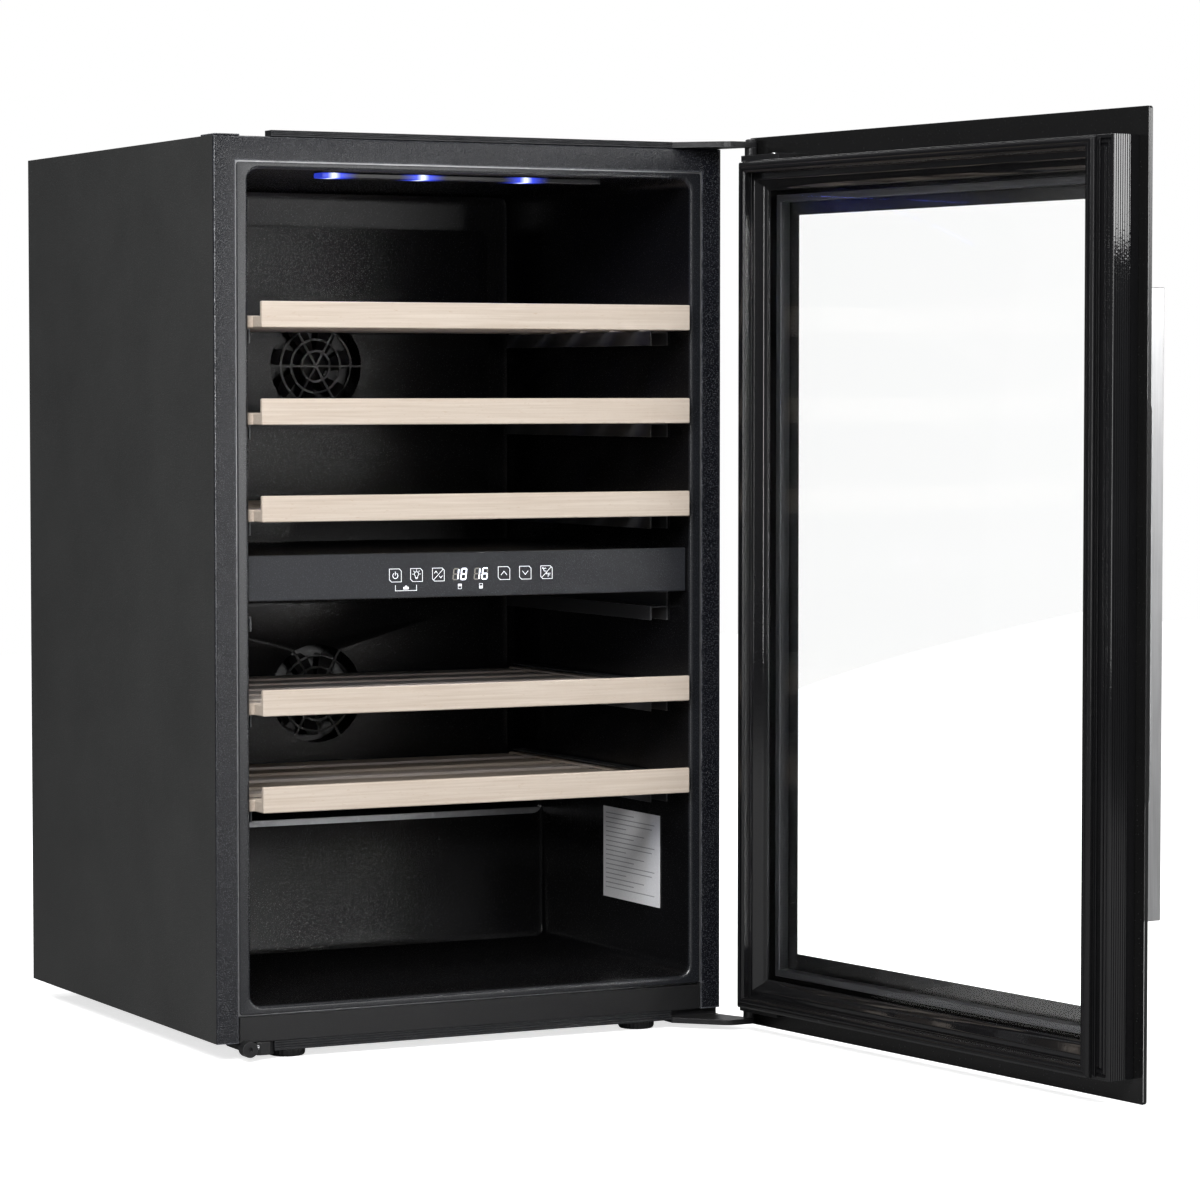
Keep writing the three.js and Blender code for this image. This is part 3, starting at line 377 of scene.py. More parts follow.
brightSteel = brushedMaterial("bright steel", {
    "stretch": (300, 300, 300), "depth": 0.1, "dark": (0.5, 0.5, 0.51), "light": (0.68, 0.68, 0.7),
    "rough": (0.2, 0.32)})
brushedSteel = brushedMaterial("brushed steel", {
    "stretch": (1500, 1500, 14), "depth": 0.12, "dark": (0.44, 0.44, 0.445), "light": (0.57, 0.57, 0.575),
    "rough": (0.28, 0.4)})
copperTube = brushedMaterial("copper tube", {
    "stretch": (80, 80, 80), "depth": 0.1, "dark": (0.45, 0.22, 0.13), "light": (0.62, 0.32, 0.2),
    "rough": (0.3, 0.5)})
beechLook = {
    "along": 9, "across": 420, "fleckAlong": 240, "fleckAcross": 900,
    "dark": (0.46, 0.38, 0.31), "light": (0.575, 0.505, 0.435), "fleck": (0.43, 0.32, 0.23),
    "edgeLight": (0.68, 0.6, 0.52)}
beechAcross = beechMaterial("beech across", "x", beechLook)
beechDeep = beechMaterial("beech deep", "y", beechLook)
printWhite = glowMaterial("print white", (0.8, 0.8, 0.8), (0.9, 0.93, 1.0), 0.65)
digitLit = glowMaterial("digit lit", (0.9, 0.9, 0.95), (0.82, 0.86, 1.0), 1.9)
digitDim = glowMaterial("digit dim", (0.16, 0.15, 0.13), (0.3, 0.28, 0.24), 0.35)


def glassMaterial():
    material, tree, shader = newMaterial("clear glass", Roughness=0.0, IOR=1.15, Transmission_Weight=1.0)
    smear = put(tree, "TexNoise", {"Scale": 6.0, "Detail": 5.0})
    tree.links.new(placesIn(tree), smear.inputs["Vector"])
    tree.links.new(mixColour(tree, ramp(tree, smear.outputs["Fac"], 0.3, 0.7), (0.996, 1.0, 0.998, 1),
                             (1.0, 1.0, 1.0, 1)), shader.inputs["Base Color"])
    tree.links.new(ramp(tree, smear.outputs["Fac"], 0.6, 0.9, 0.0, 0.003), shader.inputs["Roughness"])
    return material


def spacerMaterial():  # aluminium strip with two rows of fine holes
    material, tree, shader = newMaterial("spacer metal", Metallic=0.6)
    holes = put(tree, "TexVoronoi", {"Scale": 1.0, "Randomness": 0.0})
    tree.links.new(placesIn(tree, (360, 360, 360)), holes.inputs["Vector"])
    mask = ramp(tree, holes.outputs["Distance"], 0.16, 0.26)
    metal = mixColour(tree, mask, (0.004, 0.004, 0.004, 1), (0.03, 0.031, 0.034, 1))
    tree.links.new(metal, shader.inputs["Base Color"])
    tree.links.new(ramp(tree, mask, 0, 1, 0.7, 0.35), shader.inputs["Roughness"])
    bump = put(tree, "Bump", {"Strength": 0.4, "Distance": 0.0004})
    tree.links.new(mask, bump.inputs["Height"])
    tree.links.new(bump.outputs["Normal"], shader.inputs["Normal"])
    return material


clearGlass = glassMaterial()
spacerMetal = spacerMaterial()
print("materials made")


# Shapes, all in millimetres of a space until makePiece turns them into metres
class Shape:
    def __init__(self):
        self.points, self.faces, self.finishes = [], [], []

    def add(self, points, faces, finish=0):
        start = len(self.points)
        self.points += [tuple(p) for p in points]
        self.faces += [[start + i for i in face] for face in faces]
        self.finishes += [finish] * len(faces)


def addBox(shape, low, high, finish=0):
    (x0, y0, z0), (x1, y1, z1) = low, high
    corners = [(x0, y0, z0), (x1, y0, z0), (x1, y1, z0), (x0, y1, z0),
               (x0, y0, z1), (x1, y0, z1), (x1, y1, z1), (x0, y1, z1)]
    sides = [(0, 3, 2, 1), (4, 5, 6, 7), (0, 1, 5, 4), (1, 2, 6, 5), (2, 3, 7, 6), (3, 0, 4, 7)]
    shape.add(corners, sides, finish)


def addLoops(shape, loops, closedLong=False, capped=True):  # joins rings of equal length
    count = len(loops[0])
    points = [p for loop in loops for p in loop]
    faces = []
    for ring in range(len(loops) if closedLong else len(loops) - 1):
        here, there = ring * count, ((ring + 1) % len(loops)) * count
        for i in range(count):
            j = (i + 1) % count
            faces.append((here + i, here + j, there + j, there + i))
    if capped and not closedLong:
        faces.append(tuple(reversed(range(count))))
        faces.append(tuple(range((len(loops) - 1) * count, len(loops) * count)))
    shape.add(points, faces)


def addTurned(shape, profile, centre, axis="z", sides=48):  # profile of (radius, height)
    order = {"x": (2, 0, 1), "y": (1, 2, 0), "z": (0, 1, 2)}[axis]
    loops = []
    for radius, height in profile:
        ring = []
        for k in range(sides):
            turn = 2 * math.pi * k / sides
            flat = (radius * math.cos(turn), radius * math.sin(turn), height)
            ring.append(tuple(centre[a] + flat[order[a]] for a in range(3)))
        loops.append(ring)
    addLoops(shape, loops)


def addTube(shape, path, radius, sides=12):  # a round tube along a path
    loops, side = [], None
    for i, point in enumerate(path):
        along = (Vector(path[min(i + 1, len(path) - 1)]) - Vector(path[max(i - 1, 0)])).normalized()
        if side is None:
            side = along.orthogonal().normalized()
        side = (side - along * side.dot(along)).normalized()
        up = along.cross(side)
        loops.append([Vector(point) + radius * (math.cos(t) * side + math.sin(t) * up)
                      for t in (2 * math.pi * k / sides for k in range(sides))])
    addLoops(shape, loops)


def arcPoints(a, corner, b, radius, steps):  # rounds the corner between two straight lines in a plane
    corner = Vector(corner)
    first, second = (Vector(a) - corner), (Vector(b) - corner)
    reach = min(radius, first.length * 0.49, second.length * 0.49)
    start, end = corner + first.normalized() * reach, corner + second.normalized() * reach
    return [start.lerp(corner, t).lerp(corner.lerp(end, t), t) for t in (k / steps for k in range(steps + 1))]


def roundedProfile(points, radius, steps=3):
    out = []
    for i, point in enumerate(points):
        near, far = points[i - 1], points[(i + 1) % len(points)]
        own = point[2] if len(point) > 2 else radius
        if own == 0:
            out.append(Vector(point[:2]))
        else:
            out += arcPoints(near[:2], point[:2], far[:2], own, steps)
    return out


def roundedRing(x0, x1, z0, z1, radius, y, steps=6):
    ring = []
    for cx, cz, start in ((x1 - radius, z0 + radius, -90), (x1 - radius, z1 - radius, 0),
                          (x0 + radius, z1 - radius, 90), (x0 + radius, z0 + radius, 180)):
        for k in range(steps + 1):
            turn = math.radians(start + 90 * k / steps)
            ring.append((cx + radius * math.cos(turn), y, cz + radius * math.sin(turn)))
    return ring


def addMitred(shape, profile, x0, x1, z0, z1):  # profile of (inset, y) carried round a rectangle
    corners = ((x0, 1, z0, 1), (x1, -1, z0, 1), (x1, -1, z1, -1), (x0, 1, z1, -1))
    loops = [[(cx + sx * inset, y, cz + sz * inset) for inset, y in profile] for cx, sx, cz, sz in corners]
    addLoops(shape, loops, closedLong=True)


def addStroke(shape, path, width, y, thickness):  # flat printed line in x and z
    for a, b in zip(path, path[1:]):
        a, b = Vector(a), Vector(b)
        along = (b - a).normalized() * width / 2
        side = Vector((-along.y, along.x))
        flat = [a - along + side, a - along - side, b + along - side, b + along + side]
        loops = [[(p.x, depth, p.y) for p in flat] for depth in (y - thickness, y)]
        addLoops(shape, loops)


pieceCount = 0


def makePiece(name, shape, materials, body, space=cabinetSpace, replaces=(), sharp=35, mend=True):
    global pieceCount
    mesh = bpy.data.meshes.new(name)
    mesh.from_pydata([tuple(0.001 * c for c in p) for p in shape.points], [], shape.faces)
    for material in materials if isinstance(materials, (list, tuple)) else [materials]:
        mesh.materials.append(material)
    for polygon, finish in zip(mesh.polygons, shape.finishes):
        polygon.material_index = finish
        polygon.use_smooth = True
    sculpt = bmesh.new()
    sculpt.from_mesh(mesh)
    if mend:
        bmesh.ops.remove_doubles(sculpt, verts=sculpt.verts, dist=1e-6)
        bmesh.ops.dissolve_degenerate(sculpt, edges=sculpt.edges, dist=1e-7)
    bmesh.ops.recalc_face_normals(sculpt, faces=sculpt.faces)
    for edge in sculpt.edges:
        edge.smooth = len(edge.link_faces) == 2 and edge.calc_face_angle(0) < math.radians(sharp)
    sculpt.to_mesh(mesh)
    sculpt.free()
    piece = bpy.data.objects.new(name, mesh)
    bpy.context.scene.collection.objects.link(piece)
    piece.matrix_world = space
    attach(piece, body)
    if replaces:
        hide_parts(*replaces)
    pieceCount += 1
    return piece


def ease(piece, width, segments=2, angle=32):  # rounds the sharp edges, width in millimetres
    bevel = piece.modifiers.new("eased edges", "BEVEL")
    bevel.width = width / 1000
    bevel.segments = segments
    bevel.limit_method = "ANGLE"
    bevel.angle_limit = math.radians(angle)
    bevel.harden_normals = True
    return piece


def keepNode(node, material, width=0, segments=2):  # a CAD node that stays, with its edges eased
    piece = frame["nodes"][node]
    piece.data.materials.clear()
    piece.data.materials.append(material)
    if width:
        weld = piece.modifiers.new("weld", "WELD")
        weld.merge_threshold = 1e-5
        flat = piece.modifiers.new("flat faces", "DECIMATE")
        flat.decimate_type = "DISSOLVE"
        flat.angle_limit = math.radians(0.5)
        ease(piece, width, segments)
    return piece


# Cabinet shell
shellDesign = {
    "sheet": 1.2, "side": 22, "top": 23, "corner": 2.6, "lip": 9,
    "tabWidth": 27, "tabHeight": 1.6, "tabDepth": 34}


def makeShell(design):
    (x0, y0, z0), (x1, y1, z1) = localBox("outer_shell")
    sheet, side, corner = design["sheet"], design["side"], design["corner"]
    lip = design["lip"]
    outside = roundedProfile([(0, y1, 0), (0, 0, corner), (side, 0, 0.8), (side, lip, 0)], corner, 5)
    inside = roundedProfile([(side - sheet, lip, 0), (side - sheet, sheet, 0), (sheet, sheet, corner),
                             (sheet, y1, 0)], corner, 5)
    profile = [tuple(p) for p in outside + inside]
    extra = design["top"] - side
    rise = [extra * min(max((inset - corner) / (side - 2 * corner), 0), 1) for inset, _ in profile]
    loops = [
        [(x0 + inset, y, z0) for inset, y in profile],
        [(x0 + inset, y, z1 - inset - up) for (inset, y), up in zip(profile, rise)],
        [(x1 - inset, y, z1 - inset - up) for (inset, y), up in zip(profile, rise)],
        [(x1 - inset, y, z0) for inset, y in profile]]
    shape = Shape()
    addLoops(shape, loops)
    for index, face in enumerate(shape.faces):
        centre = sum((Vector(shape.points[i]) for i in face), Vector()) / len(face)
        if centre.y < corner + 0.5:
            shape.finishes[index] = 1
    makePiece("cabinet_shell", shape, [sidePaint, frontPaint], "cabinet", replaces=["outer_shell"])
    tab = Shape()
    addBox(tab, (x0 + 0.6, 0.4, z1), (x0 + design["tabWidth"], design["tabDepth"], z1 + design["tabHeight"]))
    ease(makePiece("corner_tab", tab, frontPaint, "cabinet"), 0.7)


makeShell(shellDesign)

# Inner liner with a rounded lip and a step over the machine space
linerDesign = {
    "lip": 3.6, "half": 237, "low": 52, "high": 847, "radius": 11, "back": 415,
    "stepFront": 330.5, "stepTop": 194.5, "stepRound": 9, "wall": 1.2}


def makeLiner(design):
    (x0, _, z0), (x1, _, z1) = localBox("inner_liner")
    half, low, high, radius = design["half"], design["low"], design["high"], design["radius"]
    shape = Shape()
    rings = [roundedRing(x0, x1, z0, z1, 2.5, 3), roundedRing(x0, x1, z0, z1, 2.5, 0.6),
             roundedRing(x0 + 0.6, x1 - 0.6, z0 + 0.6, z1 - 0.6, 2.2, 0)]
    lip = design["lip"]
    for k in range(7):
        turn = math.pi / 2 * k / 6
        grow = lip * (1 - math.sin(turn))
        rings.append(roundedRing(-half - grow, half + grow, low - grow, high + grow, radius + grow,
                                 lip * (1 - math.cos(turn))))
    flangeRings = len(rings)
    front, rise, bend = design["stepFront"], design["stepTop"], design["stepRound"]
    back = design["back"]
    steps = [(25, low), (front - bend, low), (front - bend * 0.3, low + bend * 0.3), (front, low + bend),
             (front + 1.5, rise - bend), (front + 1.5 + bend * 0.3, rise - bend * 0.3),
             (front + bend + 2, rise), (back - 6, rise)]
    for y, floor in steps:
        rings.append(roundedRing(-half, half, floor, high, radius, y))
    rings.append(roundedRing(-half + 1.5, half - 1.5, rise + 1.5, high - 1.5, radius - 1, back - 1.5))
    rings.append(roundedRing(-half + 6, half - 6, rise + 6, high - 6, radius - 4, back))
    addLoops(shape, rings, capped=False)
    count = len(rings[0])
    shape.faces.append([(len(rings) - 1) * count + i for i in range(count)])
    shape.finishes.append(1)
    for index, face in enumerate(shape.faces):
        if max(face) >= flangeRings * count:
            shape.finishes[index] = 1
    liner = makePiece("liner", shape, [linerLip, linerPlastic], "cabinet", replaces=["inner_liner"],
                      mend=False)
    thick = liner.modifiers.new("wall", "SOLIDIFY")
    thick.thickness = design["wall"] / 1000
    thick.offset = 1


makeLiner(linerDesign)
print("cabinet made")

# CAD pieces that keep their shape: the finish, then the width of their eased edges and the steps in it
keptNodes = {
    "kick_panel": (darkPlastic, 0.5), "trim_bar_top": (trimPaint, 0.25), "trim_bar_bottom": (trimPaint, 0.25),
    "hinge_plate_top": (hingePaint, 0.6), "hinge_plate_bottom": (hingePaint, 0.6),
    "hinge_pin_top": (hingePaint, 0.3), "mounting_bolt": (hingePaint, 0.5),
    "mounting_bracket": (darkPlastic, 1.0), "zone_divider": (linerPlastic, 1.2),
    "evaporator_cover_upper": (linerPlastic, 0.5), "evaporator_cover_lower": (linerPlastic, 0.5),
    "base_pan": (zincSheet,), "back_panel": (zincSheet,), "foam_insulation": (foilCover,),
    "evaporation_tray": (darkPlastic, 0.5), "power_inlet": (darkPlastic, 0.5),
    "door_inner_glass": (clearGlass, 0.3), "door_handle": (brushedSteel, 0.9, 3),
    "door_bracket_top": (hingePaint, 0.5), "door_bracket_bottom": (hingePaint, 0.5)}
for number in range(1, 6):
    for side in ("left", "right"):
        keptNodes[f"shelf_guide_{side}_{number}"] = (guideSteel, 0.25, 1)
for node, finish in keptNodes.items():
    keepNode(node, *finish)
print("kept nodes finished")

# Shelves: an L-shaped front and a rack of slats on two runners
shelfDesign = {
    "lip": 5.2, "rail": 22.8, "railHeight": 11, "round": 1.3,
    "runner": 14, "runnerHeight": 11.4, "slats": 6, "slat": 38, "slatHeight": 9, "slatRise": 1,
    "screw": 3.2, "screwInset": 7}


def makeShelf(number, design):
    body = f"shelf_{number}"
    low, high = localBox(f"shelf_front_{number}")
    y0, z0, z1 = low[1], low[2], high[2]
    section = [(y0, z0), (y0 + design["rail"], z0), (y0 + design["rail"], z0 + design["railHeight"]),
               (y0 + design["lip"], z0 + design["railHeight"]), (y0 + design["lip"], z1), (y0, z1)]
    front = Shape()
    addLoops(front, [[(x, y, z) for y, z in section] for x in (low[0], high[0])])
    ease(makePiece(f"{body}_front", front, beechAcross, body, replaces=[f"shelf_front_{number}"]), design["round"], 3)
    low, high = localBox(f"shelf_rack_{number}")
    rack, screws = Shape(), Shape()
    inner = high[0] - design["runner"]
    for x0, x1 in ((low[0], -inner), (inner, high[0])):
        addBox(rack, (x0, low[1], low[2]), (x1, high[1], low[2] + design["runnerHeight"]))
    pitch = (high[1] - low[1] - design["slat"]) / (design["slats"] - 1)
    slatLow = low[2] + design["slatRise"]
    slatTop = slatLow + design["slatHeight"]
    head = design["screw"]
    screw = [(0.6, 0.3), (head * 0.5, 0.9), (head, 1.0), (head, 0.2), (head * 0.6, -0.4)]
    for slat in range(design["slats"]):
        y = low[1] + slat * pitch
        addBox(rack, (-inner, y, slatLow), (inner, y + design["slat"], slatTop), 1)
        for side in (-1, 1):
            for part in (0.25, 0.75):
                place = (side * (inner - design["screwInset"]), y + design["slat"] * part, slatTop - 0.8)
                addTurned(screws, screw, place, sides=20)
    ease(makePiece(f"{body}_rack", rack, [beechDeep, beechAcross], body, replaces=[f"shelf_rack_{number}"]), 1.0, 2)
    makePiece(f"{body}_screws", screws, brightSteel, body)


for number in range(1, 6):
    makeShelf(number, shelfDesign)

# The spare pair of guides under the divider, in step with the others
spareDrop = 92


def makeSpareGuides():
    for side in ("left", "right"):
        source = frame["nodes"][f"shelf_guide_{side}_3"]
        copy = bpy.data.objects.new(f"spare_guide_{side}", source.data.copy())
        bpy.context.scene.collection.objects.link(copy)
        copy.location = (0, 0, -spareDrop / 1000)
        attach(copy, "cabinet")


makeSpareGuides()
print("shelves made")

# Control strip: one plate as wide as the opening, with printed keys and two displays
stripDesign = {
    "round": 1.2, "stroke": 0.6, "fine": 0.5, "key": 6.3, "cut": 2.2, "raise": -0.4,
    "power": -82, "lamp": -59.5, "zones": -36.2, "displays": (("18", -13.2), ("16", 9.6)),
    "up": 34.6, "down": 57.8, "units": 81, "digitHeight": 10.4, "digitWidth": 5.2, "slant": 0.12, "gap": 8.4}

segments = {
    "a": ((0, 1), (1, 1)), "b": ((1, 1), (1, 0.5)), "c": ((1, 0.5), (1, 0)), "d": ((0, 0), (1, 0)),
    "e": ((0, 0), (0, 0.5)), "f": ((0, 0.5), (0, 1)), "g": ((0, 0.5), (1, 0.5))}
numerals = {"1": "bc", "6": "acdefg", "8": "abcdefg"}


def makeStrip(design):
    low, high = localBox("control_panel")
    plate = Shape()
    addBox(plate, low, high)
    ease(makePiece("control_strip", plate, fasciaPaint, "cabinet",
                   replaces=["control_panel", "display_module"]), design["round"], 3)
    back = localBox("display_module")
    box = Shape()
    addBox(box, (back[0][0], high[1] - 0.2, back[0][2]), back[1])
    ease(makePiece("display_box", box, darkPlastic, "cabinet"), 0.6)
    middle = (low[2] + high[2]) / 2 + 0.6
    front = low[1] - 0.05
    thin, fine, half, cut = design["stroke"], design["fine"], design["key"], design["cut"]
    prints, dim, lit = Shape(), Shape(), Shape()

    def stroke(points, width=thin, shape=prints):
        addStroke(shape, points, width, front + 0.06, 0.12)

    def keyFrame(x):
        z = middle + design["raise"]
        stroke([(x - half, z - half + cut), (x - half, z + half), (x + half - cut, z + half),
                (x + half, z + half - cut), (x + half, z - half), (x - half + cut, z - half),
                (x - half, z - half + cut)], fine)
        return z

    def circle(x, z, radius, start=0, stop=360, width=fine):
        steps = max(6, int(abs(stop - start) / 24))
        stroke([(x + radius * math.cos(math.radians(t)), z + radius * math.sin(math.radians(t)))
                for t in (start + (stop - start) * k / steps for k in range(steps + 1))], width)

    z = keyFrame(design["power"])
    circle(design["power"], z - 0.3, 2.7, 125, 415, thin)
    stroke([(design["power"], z + 0.2), (design["power"], z + 3.4)])
    z = keyFrame(design["lamp"])
    x = design["lamp"]
    circle(x, z + 0.9, 2.3, -50, 230)
    stroke([(x - 1.3, z - 1.0), (x - 1.3, z - 2.6), (x + 1.3, z - 2.6), (x + 1.3, z - 1.0)], fine)
    stroke([(x - 0.9, z - 3.5), (x + 0.9, z - 3.5)], fine)
    for turn in range(0, 181, 45):
        cos, sin = math.cos(math.radians(turn)), math.sin(math.radians(turn))
        stroke([(x + 3.2 * cos, z + 0.9 + 3.2 * sin), (x + 4.3 * cos, z + 0.9 + 4.3 * sin)], fine)
    z = keyFrame(design["zones"])
    x = design["zones"]
    stroke([(x - half + 1.4, z - half + 1.4), (x + half - 1.4, z + half - 1.4)], fine)
    for dx, dz, rise in ((-2.6, 2.4, 1), (2.6, -2.4, -1)):
        foot, peak = z + dz - rise * 0.9, z + dz + rise * 0.9
        stroke([(x + dx - 1.5, foot), (x + dx, peak), (x + dx + 1.5, foot)])
    for place, rise in ((design["up"], 1), (design["down"], -1)):
        z = keyFrame(place)
        stroke([(place - 3, z - rise * 1.6), (place, z + rise * 1.8), (place + 3, z - rise * 1.6)])
    z = keyFrame(design["units"])
    x = design["units"]
    stroke([(x - half + 1.6, z - half + 1.6), (x + half - 1.6, z + half - 1.6)], fine)
    circle(x - 3.9, z + 4.1, 0.55, width=fine * 0.8)
    circle(x - 1.5, z + 2.5, 1.5, 50, 310)
    circle(x + 0.2, z - 1.2, 0.55, width=fine * 0.8)
    stroke([(x + 1.8, z - 4.4), (x + 1.8, z - 1.1), (x + 4.2, z - 1.1)], fine)
    stroke([(x + 1.8, z - 2.7), (x + 3.7, z - 2.7)], fine)

    tall, wide, slant = design["digitHeight"], design["digitWidth"], design["slant"]
    bottom = middle + design["raise"] - tall / 2
    for text, centre in design["displays"]:
        for index, numeral in enumerate(text):
            left = centre + (index - 0.5) * design["gap"] - wide / 2
            for name, ends in segments.items():
                line = [(left + u * wide + (v - 0.5) * tall * slant, bottom + v * tall) for u, v in ends]
                a, b = Vector(line[0]), Vector(line[1])
                trim = (b - a).normalized() * 0.95
                stroke([a + trim, b - trim], 1.25, lit if name in numerals[numeral] else dim)
    under = middle + design["raise"] - half
    stroke([(design["power"], under - 3.4), (design["power"], under - 8.6), (design["lamp"], under - 8.6),
            (design["lamp"], under - 3.4)], fine)
    x = (design["power"] + design["lamp"]) / 2
    stroke([(x - 1.6, under - 6.2), (x + 1.6, under - 6.2)], 2.4)
    circle(x, under - 5.0, 1.0, 0, 180)
    for index, (_, centre) in enumerate(design["displays"]):
        stroke([(centre - 1.7, under - 8.0), (centre - 1.7, under - 3.4), (centre + 1.7, under - 3.4),
                (centre + 1.7, under - 8.0), (centre - 1.7, under - 8.0)], fine * 0.8)
        level = under - (4.4, 6.6)[index]
        stroke([(centre - 0.6, level), (centre + 0.6, level)], 2.2)
    makePiece("strip_prints", prints, printWhite, "cabinet", mend=False)
    makePiece("strip_digits", lit, digitLit, "cabinet", mend=False)
    makePiece("strip_digits_off", dim, digitDim, "cabinet", mend=False)


makeStrip(stripDesign)

# Light lenses with their diodes, and a generic label with rows of marks
lensDesign = {
    "light_lens_upper": {
        "spots": (-137, -43, 68), "reach": 27, "colour": (0.05, 0.09, 1.0), "core": (0.75, 0.82, 1.0),
        "glow": 1.9, "power": 0.12, "lamp": (0.16, 0.22, 1.0), "lift": 0.0},
    "light_lens_lower": {
        "spots": (-110, -37, 37, 110), "reach": 16, "colour": (0.3, 0.34, 0.9), "core": (0.9, 0.93, 1.0),
        "glow": 0.8, "power": 0.1, "lamp": (0.7, 0.78, 1.0), "lift": 2.6}}


def lensMaterial(name, design):  # smoked plastic with soft pools of light over the diodes
    material, tree, shader = newMaterial(name, Roughness=0.22, IOR=1.47)
    places = put(tree, "SeparateXYZ")
    tree.links.new(placesIn(tree), places.inputs[0])
    glow = 0.0
    for spot in design["spots"]:
        away = mathNode(tree, "ABSOLUTE", mathNode(tree, "SUBTRACT", places.outputs["X"], spot / 1000), 0)
        pool = mathNode(tree, "POWER", ramp(tree, away, 0, design["reach"] / 1000, 1, 0), 2.0)
        glow = mathNode(tree, "ADD", glow, pool)
    cloud = put(tree, "TexNoise", {"Scale": 300.0, "Detail": 2.0})
    tree.links.new(placesIn(tree), cloud.inputs["Vector"])
    tree.links.new(mixColour(tree, ramp(tree, cloud.outputs["Fac"], 0.3, 0.7), (0.008, 0.008, 0.01, 1),
                             (0.012, 0.012, 0.015, 1)), shader.inputs["Base Color"])
    tree.links.new(mixColour(tree, ramp(tree, glow, 0.55, 1.0), (*design["colour"], 1), (*design["core"], 1)),
                   shader.inputs["Emission Color"])
    paths = put(tree, "LightPath")
    seen = mathNode(tree, "MULTIPLY", glow, paths.outputs["Is Camera Ray"])
    tree.links.new(mathNode(tree, "MULTIPLY", seen, design["glow"]), shader.inputs["Emission Strength"])
    return material


def makeLens(node, design):
    low, high = localBox(node)
    cover = Shape()
    addBox(cover, (low[0], low[1], low[2] + design["lift"]), high)
    smoked = lensMaterial(node.replace("_", " "), design)
    ease(makePiece(node + "_cover", cover, smoked, "cabinet", replaces=[node]), 1.0, 3)
    for side in (-1, 1):
        data = bpy.data.lights.new(node + "_light", "AREA")
        data.shape, data.size, data.size_y = "RECTANGLE", 0.12, 0.012
        data.energy, data.color = design["power"], design["lamp"]
        lamp = bpy.data.objects.new(f"{node}_light_{'left' if side < 0 else 'right'}", data)
        lamp.location = cabinetSpace @ Vector((side * 0.07, (low[1] + high[1]) / 2000, low[2] / 1000 - 0.004))
        bpy.context.scene.collection.objects.link(lamp)
        lamp.visible_camera = False
        lamp.visible_glossy = False
        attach(lamp, "cabinet")


for node, design in lensDesign.items():
    makeLens(node, design)

labelDesign = {"thick": 0.4, "margin": 6, "rows": 17, "bar": 0.9}


def makeLabel(design):
    low, high = localBox("data_label")
    sheet, marks = Shape(), Shape()
    addBox(sheet, (high[0] - design["thick"], low[1], low[2]), high)
    ease(makePiece("label_sheet", sheet, labelPaperGlow, "cabinet", replaces=["data_label"]), 0.15, 1)
    face = high[0] - design["thick"] - 0.03
    y0, y1 = low[1] + design["margin"], high[1] - design["margin"]
    top = high[2] - design["margin"]
    pitch = (high[2] - low[2] - 2 * design["margin"]) / design["rows"]
    for row in range(design["rows"]):
        z = top - row * pitch
        length = (0.55, 0.9, 0.75, 0.95, 0.4)[(row * 3) % 5]
        addBox(marks, (face, y1 - (y1 - y0) * length, z - design["bar"]), (face + 0.06, y1, z))
    makePiece("label_marks", marks, labelInk, "cabinet")


# The label paper glows faintly, though it is no lamp: painted light
labelPaperGlow = glowMaterial("label paper painted glow", (0.78, 0.78, 0.79), (0.9, 0.9, 1.0), 0.03)
labelInk = glowMaterial("label ink", (0.32, 0.32, 0.34), (0.1, 0.1, 0.1), 0.0)
makeLabel(labelDesign)
print("strip, lenses and label made")

# Door panes: black enamel covers the outer one's rim and a border round its inner face
enamelDesign = {"edge": 0.25, "sides": 82, "ends": 79}


def makeOuterPane(design):
    pane = keepNode("door_outer_glass", clearGlass, 0.4)
    pane.data.materials.append(enamelBlack)
    turn = doorSpace.to_3x3().inverted()
    for polygon in pane.data.polygons:
        if abs((turn @ polygon.normal).y) < 0.5:
            polygon.material_index = 1
    pane.modifiers["eased edges"].material = 1
    low, high = localBox("door_outer_glass", doorSpace)
    y0, y1 = (corner[1] for corner in localBox("door_enamel_border", doorSpace))
    edge = design["edge"]
    loops = []
    for x, sx, z, sz in ((low[0], 1, low[2], 1), (high[0], -1, low[2], 1), (high[0], -1, high[2], -1),
                         (low[0], 1, high[2], -1)):
        outer = (x + sx * edge, z + sz * edge)
        inner = (x + sx * design["sides"], z + sz * design["ends"])
        loops.append([(outer[0], y0, outer[1]), (outer[0], y1, outer[1]), (inner[0], y1, inner[1]),
                      (inner[0], y0, inner[1])])
    shape = Shape()
    addLoops(shape, loops, closedLong=True)
    makePiece("enamel_border", shape, enamelBlack, "door", doorSpace, ["door_enamel_border"])


makeOuterPane(enamelDesign)

# Door frame: a moulded profile of ribs carried round the door, with mitred corners
frameDesign = {
    "ribs": 8, "ribWidth": 2.6, "ribCut": 1.1, "ribStart": 1.7, "rear": 23.5, "shoulder": 19,
    "slope": 26, "slopeY": 15, "land": 30, "landY": 13, "stepY": 9.7, "inner": 20, "round": 1.6}


